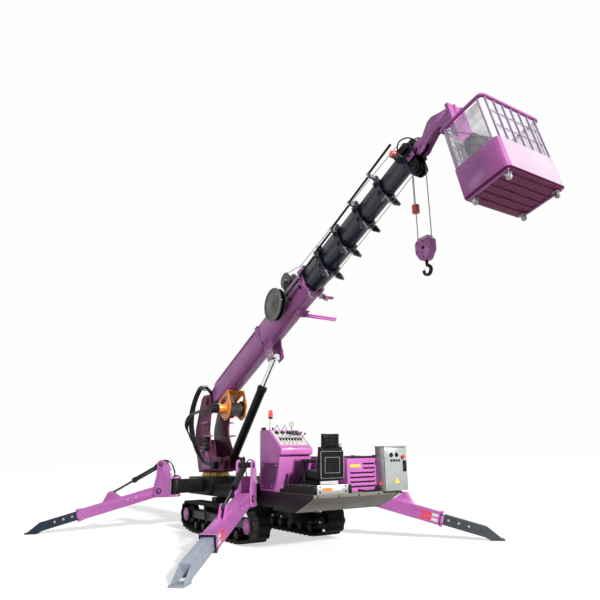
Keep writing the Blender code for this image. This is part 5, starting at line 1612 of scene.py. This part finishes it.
def seat_base():
    """The slides below the cushion, the headrest's rods and the armrests with their posts."""
    rear, mid, low = SEAT_REAR, SEAT_MID, SEAT_LOW
    base = [
        box((rear - 0.46, rear - 0.10), (mid - 0.19, mid + 0.19), (low, low + 0.03)),
        box((rear - 0.42, rear - 0.14), (mid - 0.15, mid + 0.15), (low + 0.03, low + 0.07)),
    ]
    for sign in (-1, 1):
        y = mid + sign * 0.07
        base.append(rod((rear - 0.02, y, 1.38), (rear - 0.02, y, 1.50), 0.008, 12))
        side = sorted((mid + sign * 0.215, mid + sign * 0.235))
        base.append(box((rear - 0.39, rear - 0.35), side, (low + 0.04, low + 0.31)))
    piece("seat_base", base, "black_steel", "chassis", bevel=0.003)
    for sign, name in ((-1, "left"), (1, "right")):
        place = Matrix.Translation((rear - 0.25, mid + sign * 0.228, low + 0.325))
        pad(f"armrest_{name}", (0.36, 0.055, 0.05), place, 0.004)
    plate = [box((rear - 0.02, rear + 0.004), (mid - 0.20, mid + 0.10), (low + 0.01, low + 0.055))]
    piece("seat_plate", plate, "pale_plate", "chassis", bevel=0.002)


seat_pads()
seat_shell()
seat_base()
print("seat in place of its solid")

# %% [markdown]
# The engine hood has louvres at its rear, each a slot with a small lid pressed out above it. The cabinet
# beside it is galvanised sheet with dials, a blank warning triangle and a handle.

# %% Louvres, plate, hoses and cabinet
HOOD_REAR = behind(4.70)
HOOD_LEFT = -0.095
HOOD_RIGHT = 0.70
CABINET_LEFT = 0.43
CABINET_RIGHT = 0.86
CABINET_REAR = behind(4.905)
CABINET_TOP = 1.44


def hood_louvres():
    rear = HOOD_REAR
    lids = []
    slots = []
    for row in range(6):
        z = 0.90 + 0.062 * row
        lid = ((rear, z + 0.020), (rear, z + 0.034), (rear + 0.012, z + 0.018), (rear + 0.011, z + 0.014))
        y = HOOD_LEFT + 0.05 if row < 4 else HOOD_LEFT + 0.29
        while y + 0.09 < CABINET_LEFT - 0.01:
            lids.append(prism(lid, y - 0.004, y + 0.094))
            # Each slot is a dark box, painted shade in the opening under its lid.
            slots.append(box((rear, rear + 0.004), (y - 0.002, y + 0.100), (z - 0.008, z + 0.020)))
            y += 0.108
    piece("louvre_lids", lids, "orchid_paint", "chassis", bevel=0.001)
    piece("louvre_slots", slots, "track_rubber", "chassis")


def hood_details():
    """A plate, seams, two latches and the exhaust pipe."""
    plate = [box((HOOD_REAR, HOOD_REAR + 0.003), (HOOD_LEFT + 0.05, HOOD_LEFT + 0.24), (1.165, 1.205))]
    piece("hood_plate", plate, "yellow_plate", "chassis")
    seam = (1.3195, 1.3235)
    seams = [
        box((behind(3.34), HOOD_REAR - 0.02), (HOOD_LEFT + 0.012, HOOD_LEFT + 0.018), seam),
        box((behind(4.02), behind(4.03)), (HOOD_LEFT + 0.02, HOOD_RIGHT - 0.02), seam),
    ]
    piece("hood_seams", seams, "dark_violet", "chassis")
    latches = [box((behind(4.56), behind(4.62)), (y - 0.02, y + 0.02), (1.318, 1.332)) for y in (0.10, 0.50)]
    piece("hood_latches", latches, "black_steel", "chassis", bevel=0.003)
    bends = ((3.62, 1.31), (3.62, 1.42), (3.66, 1.48), (3.76, 1.50))
    pipe = smooth_route([(behind(x), 0.50, z) for x, z in bends], 6)
    piece("exhaust", [tube(pipe, 0.028, 16)], "bare_steel", "chassis")


def hood_hose():
    """The black hose that loops down out of the hood's lower edge."""
    route = (
        (HOOD_REAR - 0.02, 0.10, 0.86),
        (HOOD_REAR + 0.06, 0.10, 0.85),
        (HOOD_REAR + 0.115, 0.16, 0.845),
        (HOOD_REAR + 0.12, 0.28, 0.85),
        (HOOD_REAR + 0.10, 0.38, 0.852),
        (HOOD_REAR - 0.02, 0.40, 0.86),
    )
    hose("hood_hose", route, 0.013, "chassis")


def cabinet_dials():
    """Dials, the stop button, a blank warning triangle and the grip on the cabinet's door."""
    x = CABINET_REAR
    dials = [(y, 1.33, 0.032) for y in (0.56, 0.66)] + [(y, 1.25, 0.016) for y in (0.56, 0.61, 0.66, 0.71)]
    rims = []
    faces = []
    for y, z, radius in dials:
        rim = ((0, radius), (0.010, radius), (0.013, radius - 0.004), (0.008, radius - 0.006))
        rims.append(turned(rim, (x, y, z), REARWARD))
        faces.append(turned(((0, radius - 0.005), (0.0065, radius - 0.005)), (x, y, z), REARWARD))
    piece("dial_rims", rims, "black_steel", "door")
    piece("dial_faces", faces, "caster_white", "door")
    stop = ((0, 0.024), (0.012, 0.024), (0.02, 0.018), (0.034, 0.026), (0.042, 0.020))
    piece("stop_button", [turned(stop, (x, 0.77, 1.30), REARWARD)], "signal_red", "door")
    triangle = prism(((0.60, 0.935), (0.70, 0.935), (0.65, 1.022)), x, x + 0.002, "X")
    piece("warning_triangle", [triangle], "yellow_plate", "door")
    grip = [box((x + 0.016, x + 0.026), (CABINET_RIGHT - 0.075, CABINET_RIGHT - 0.035), (1.10, 1.24))]
    grip.append(box((x, x + 0.003), (CABINET_RIGHT - 0.082, CABINET_RIGHT - 0.028), (1.09, 1.25)))
    piece("cabinet_grip", grip, "black_steel", "door", bevel=0.003)


def cabinet_shell():
    """The lamp on the cabinet's left side, its overhanging roof and the folds in its door."""
    x, top = CABINET_REAR, CABINET_TOP
    glass = ((0, 0.022), (0.012, 0.024), (0.03, 0.02), (0.036, 0.010))
    lamp = turned(glass, (behind(4.80), CABINET_LEFT, 0.93), LEFTWARD, 20)
    piece("cabinet_lamp", [lamp], "lamp_red", "chassis")
    wide = (CABINET_LEFT - 0.008, CABINET_RIGHT + 0.008)
    roof = [
        box((behind(4.69), x + 0.018), wide, (top + 0.012, top + 0.016)),
        box((x + 0.012, x + 0.019), wide, (top + 0.004, top + 0.014)),
    ]
    piece("cabinet_roof", roof, "galvanised", "chassis", bevel=0.002)
    across = (CABINET_LEFT + 0.03, CABINET_RIGHT - 0.09)
    folds = [box((x - 0.001, x + 0.004), across, (z - 0.004, z + 0.004)) for z in (0.90, 1.38)]
    piece("door_folds", folds, "galvanised", "door", bevel=0.002)


hood_louvres()
hood_details()
hood_hose()
cabinet_dials()
cabinet_shell()
print("hood and cabinet dressed")

# %% [markdown]
# The tail is a grey tray with a bolted panel that carries the rear reflectors.

# %% Tail: reflectors, bolts and treads
def tail_details():
    x = behind(4.83)
    marks = ((-0.62, -0.46, "signal_orange"), (-0.46, -0.30, "caster_white"))
    for left, right, finish in marks:
        shape = box((x, x + 0.004), (left, right - 0.004), (0.875, 0.915))
        piece(f"tail_reflector_{finish}", [shape], finish, "chassis", bevel=0.001)
    bolts = []
    for y in (-0.66, -0.23):
        for z in (0.86, 0.93):
            bolts += hex_bolt((x, y, z), REARWARD, 0.010)
    for y in (-0.70, -0.35, 0.0, 0.35, 0.70):
        bolts += hex_bolt((x, y, 0.80), REARWARD, 0.009)
    piece("tail_bolts", bolts, "black_steel", "chassis")
    tread = []
    for k in range(9):
        for i in range(3):
            a = behind(4.06) + 0.07 * k
            b = -0.70 + 0.05 * i if k > 1 else -0.70 + 0.18 * i
            tread.append(box((a, a + 0.03), (b, b + 0.012), (0.9395, 0.9425)))
    piece("platform_tread", tread, "bare_steel", "chassis")


tail_details()
print("tail dressed")

# %% [markdown]
# ## Legs
# All four legs are alike. A cylinder along the top raises each of them, and a row of holes along the sliding
# part takes the locking pin. The rear ones also have reflectors near their outer end, as in the photograph.

# %% Dress a leg
HALF = 0.10
LEG_LENGTH = 1.555
SLIDE_HALF = 0.08


def leg_reflectors(leg):
    """Red and white patches on both sides, just short of the collar."""
    reds = []
    whites = []
    for sign in (-1, 1):
        side = span(sign, HALF, HALF + 0.002)
        for low in (-0.062, 0.012):
            reds.append(box((1.20, 1.36), side, (low, low + 0.048)))
            whites.append(box((1.37, 1.47), side, (low, low + 0.048)))
    piece(leg + "_reds", reds, "signal_red", leg + "_beam", LEG[leg], 0.0006)
    piece(leg + "_whites", whites, "caster_white", leg + "_beam", LEG[leg], 0.0006)


def leg_holes(leg):
    """Rims of the locking holes in the sides of the beam and of its sliding part."""
    beam = []
    slide = []
    dark = []
    for sign in (-1, 1):
        out = (0, sign, 0)
        for x in (0.44, 0.60):
            beam.append(boss((x, sign * HALF, 0.01), out, 0.024, 0.006, 0.006, 0.016, 20))
            # A dark disc in each of the beam's holes is painted shade inside the opening.
            dark.append(turned(((0, 0.016), (0.004, 0.016)), (x, sign * HALF, 0.01), out, 20))
        for x in (1.64, 1.80, 1.96):
            slide.append(boss((x, sign * SLIDE_HALF, 0.01), out, 0.020, 0.003, 0.003, 0.014, 20))
    piece(leg + "_hole_rims", beam, "orchid_paint", leg + "_beam", LEG[leg])
    piece(leg + "_holes", dark, "track_rubber", leg + "_beam", LEG[leg])
    piece(leg + "_slide_rims", slide, "bare_steel", leg + "_slide", LEG[leg])


def leg_details(leg):
    bolts = []
    for sign in (-1, 1):
        for x in (LEG_LENGTH - 0.04, LEG_LENGTH - 0.012):
            for z in (-0.07, 0.07):
                bolts += hex_bolt((x, sign * (HALF + 0.014), z), (0, sign, 0), 0.007)
    piece(leg + "_collar_bolts", bolts, "black_steel", leg + "_beam", LEG[leg], 0.001)
    foot = []
    for x in (2.235, 2.375):
        for y in (-0.065, 0.065):
            foot += hex_bolt((x, y, -0.698), UP, 0.008)
    level = SWING[leg] @ Matrix.Translation((0.30, 0, 0.72))
    piece(leg + "_foot_bolts", foot, "bare_steel", leg + "_slide", level)


def bracket_details(leg):
    """Pin keepers on the swing bracket, and the hoses to the lifting cylinder."""
    shapes = []
    for sign in (-1, 1):
        y = sign * 0.128
        for x, z, radius in ((0.30, 0.72, 0.052), (0.28, 1.21, 0.04)):
            shapes.append(boss((x, y, z), (0, sign, 0), radius, 0.010, 0.014, radius - 0.006))
            shapes += hex_bolt((x, y + sign * 0.014, z), (0, sign, 0), 0.010)
    shapes.append(boss((0, 0, 0.975), UP, 0.06, 0.02, 0.025, 0.04))
    piece(leg + "_keepers", shapes, "black_steel", leg + "_bracket", SWING[leg], 0.001)
    for k, y in enumerate((-0.045, 0.045)):
        route = (
            (0.02, y, 0.99),
            (0.04, y * 1.4, 1.10),
            (0.12, y * 1.5, 1.235 + 0.02 * k),
            (0.27, y * 1.2, 1.275 + 0.01 * k),
            (0.415, y * 0.4, 1.19),
        )
        made = hose(f"{leg}_hose_{k + 1}", route, 0.009, None, SWING[leg])
        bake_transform(made)


for leg in LEG_NAMES:
    if leg.startswith("rear"):
        leg_reflectors(leg)
    leg_holes(leg)
    leg_details(leg)
    bracket_details(leg)
print(len(LEG_NAMES), "legs dressed")

# %% [markdown]
# ## Tracks
# Each track has a bolted hub over its wheel at both ends, and guards between them.

# %% Hubs and guards
TRACK_HALF = 0.16
TRACK_GAUGE = 1.42
TRACK_MID = behind(1.83)
AXLE = 0.295
WHEEL_REACH = 1.255


def track_details(out, name):
    """Hubs on the outer face of a track, at its front and rear, and guards between them."""
    y = out * TRACK_GAUGE / 2
    face = y + out * (TRACK_HALF - 0.02)
    hub = ((0, 0.12), (0.014, 0.115), (0.016, 0.07), (0.03, 0.065), (0.034, 0.04))
    hubs = []
    for end in (-1, 1):
        x = TRACK_MID + end * WHEEL_REACH
        hubs.append(turned(hub, (x, face - out * 0.002, AXLE), (0, out, 0), 28))
        for k in range(8):
            angle = 2 * pi * k / 8
            spot = (x + 0.092 * cos(angle), face + out * 0.012, AXLE + 0.092 * sin(angle))
            hubs += hex_bolt(spot, (0, out, 0), 0.010)
    piece(f"track_hubs_{name}", hubs, "orchid_paint", "chassis", bevel=0.002)
    guard = []
    for k in range(3):
        x = TRACK_MID - 0.8 + 0.8 * k
        low, high = AXLE - 0.05, AXLE + 0.07
        plate = ((x - 0.30, low), (x + 0.30, low), (x + 0.26, high), (x - 0.26, high))
        guard.append(prism(plate, *sorted((y + out * 0.07, y + out * 0.085))))
    piece(f"track_guards_{name}", guard, "slate_paint", "chassis", bevel=0.003)


track_details(-1, "left")
track_details(1, "right")
print("tracks dressed")
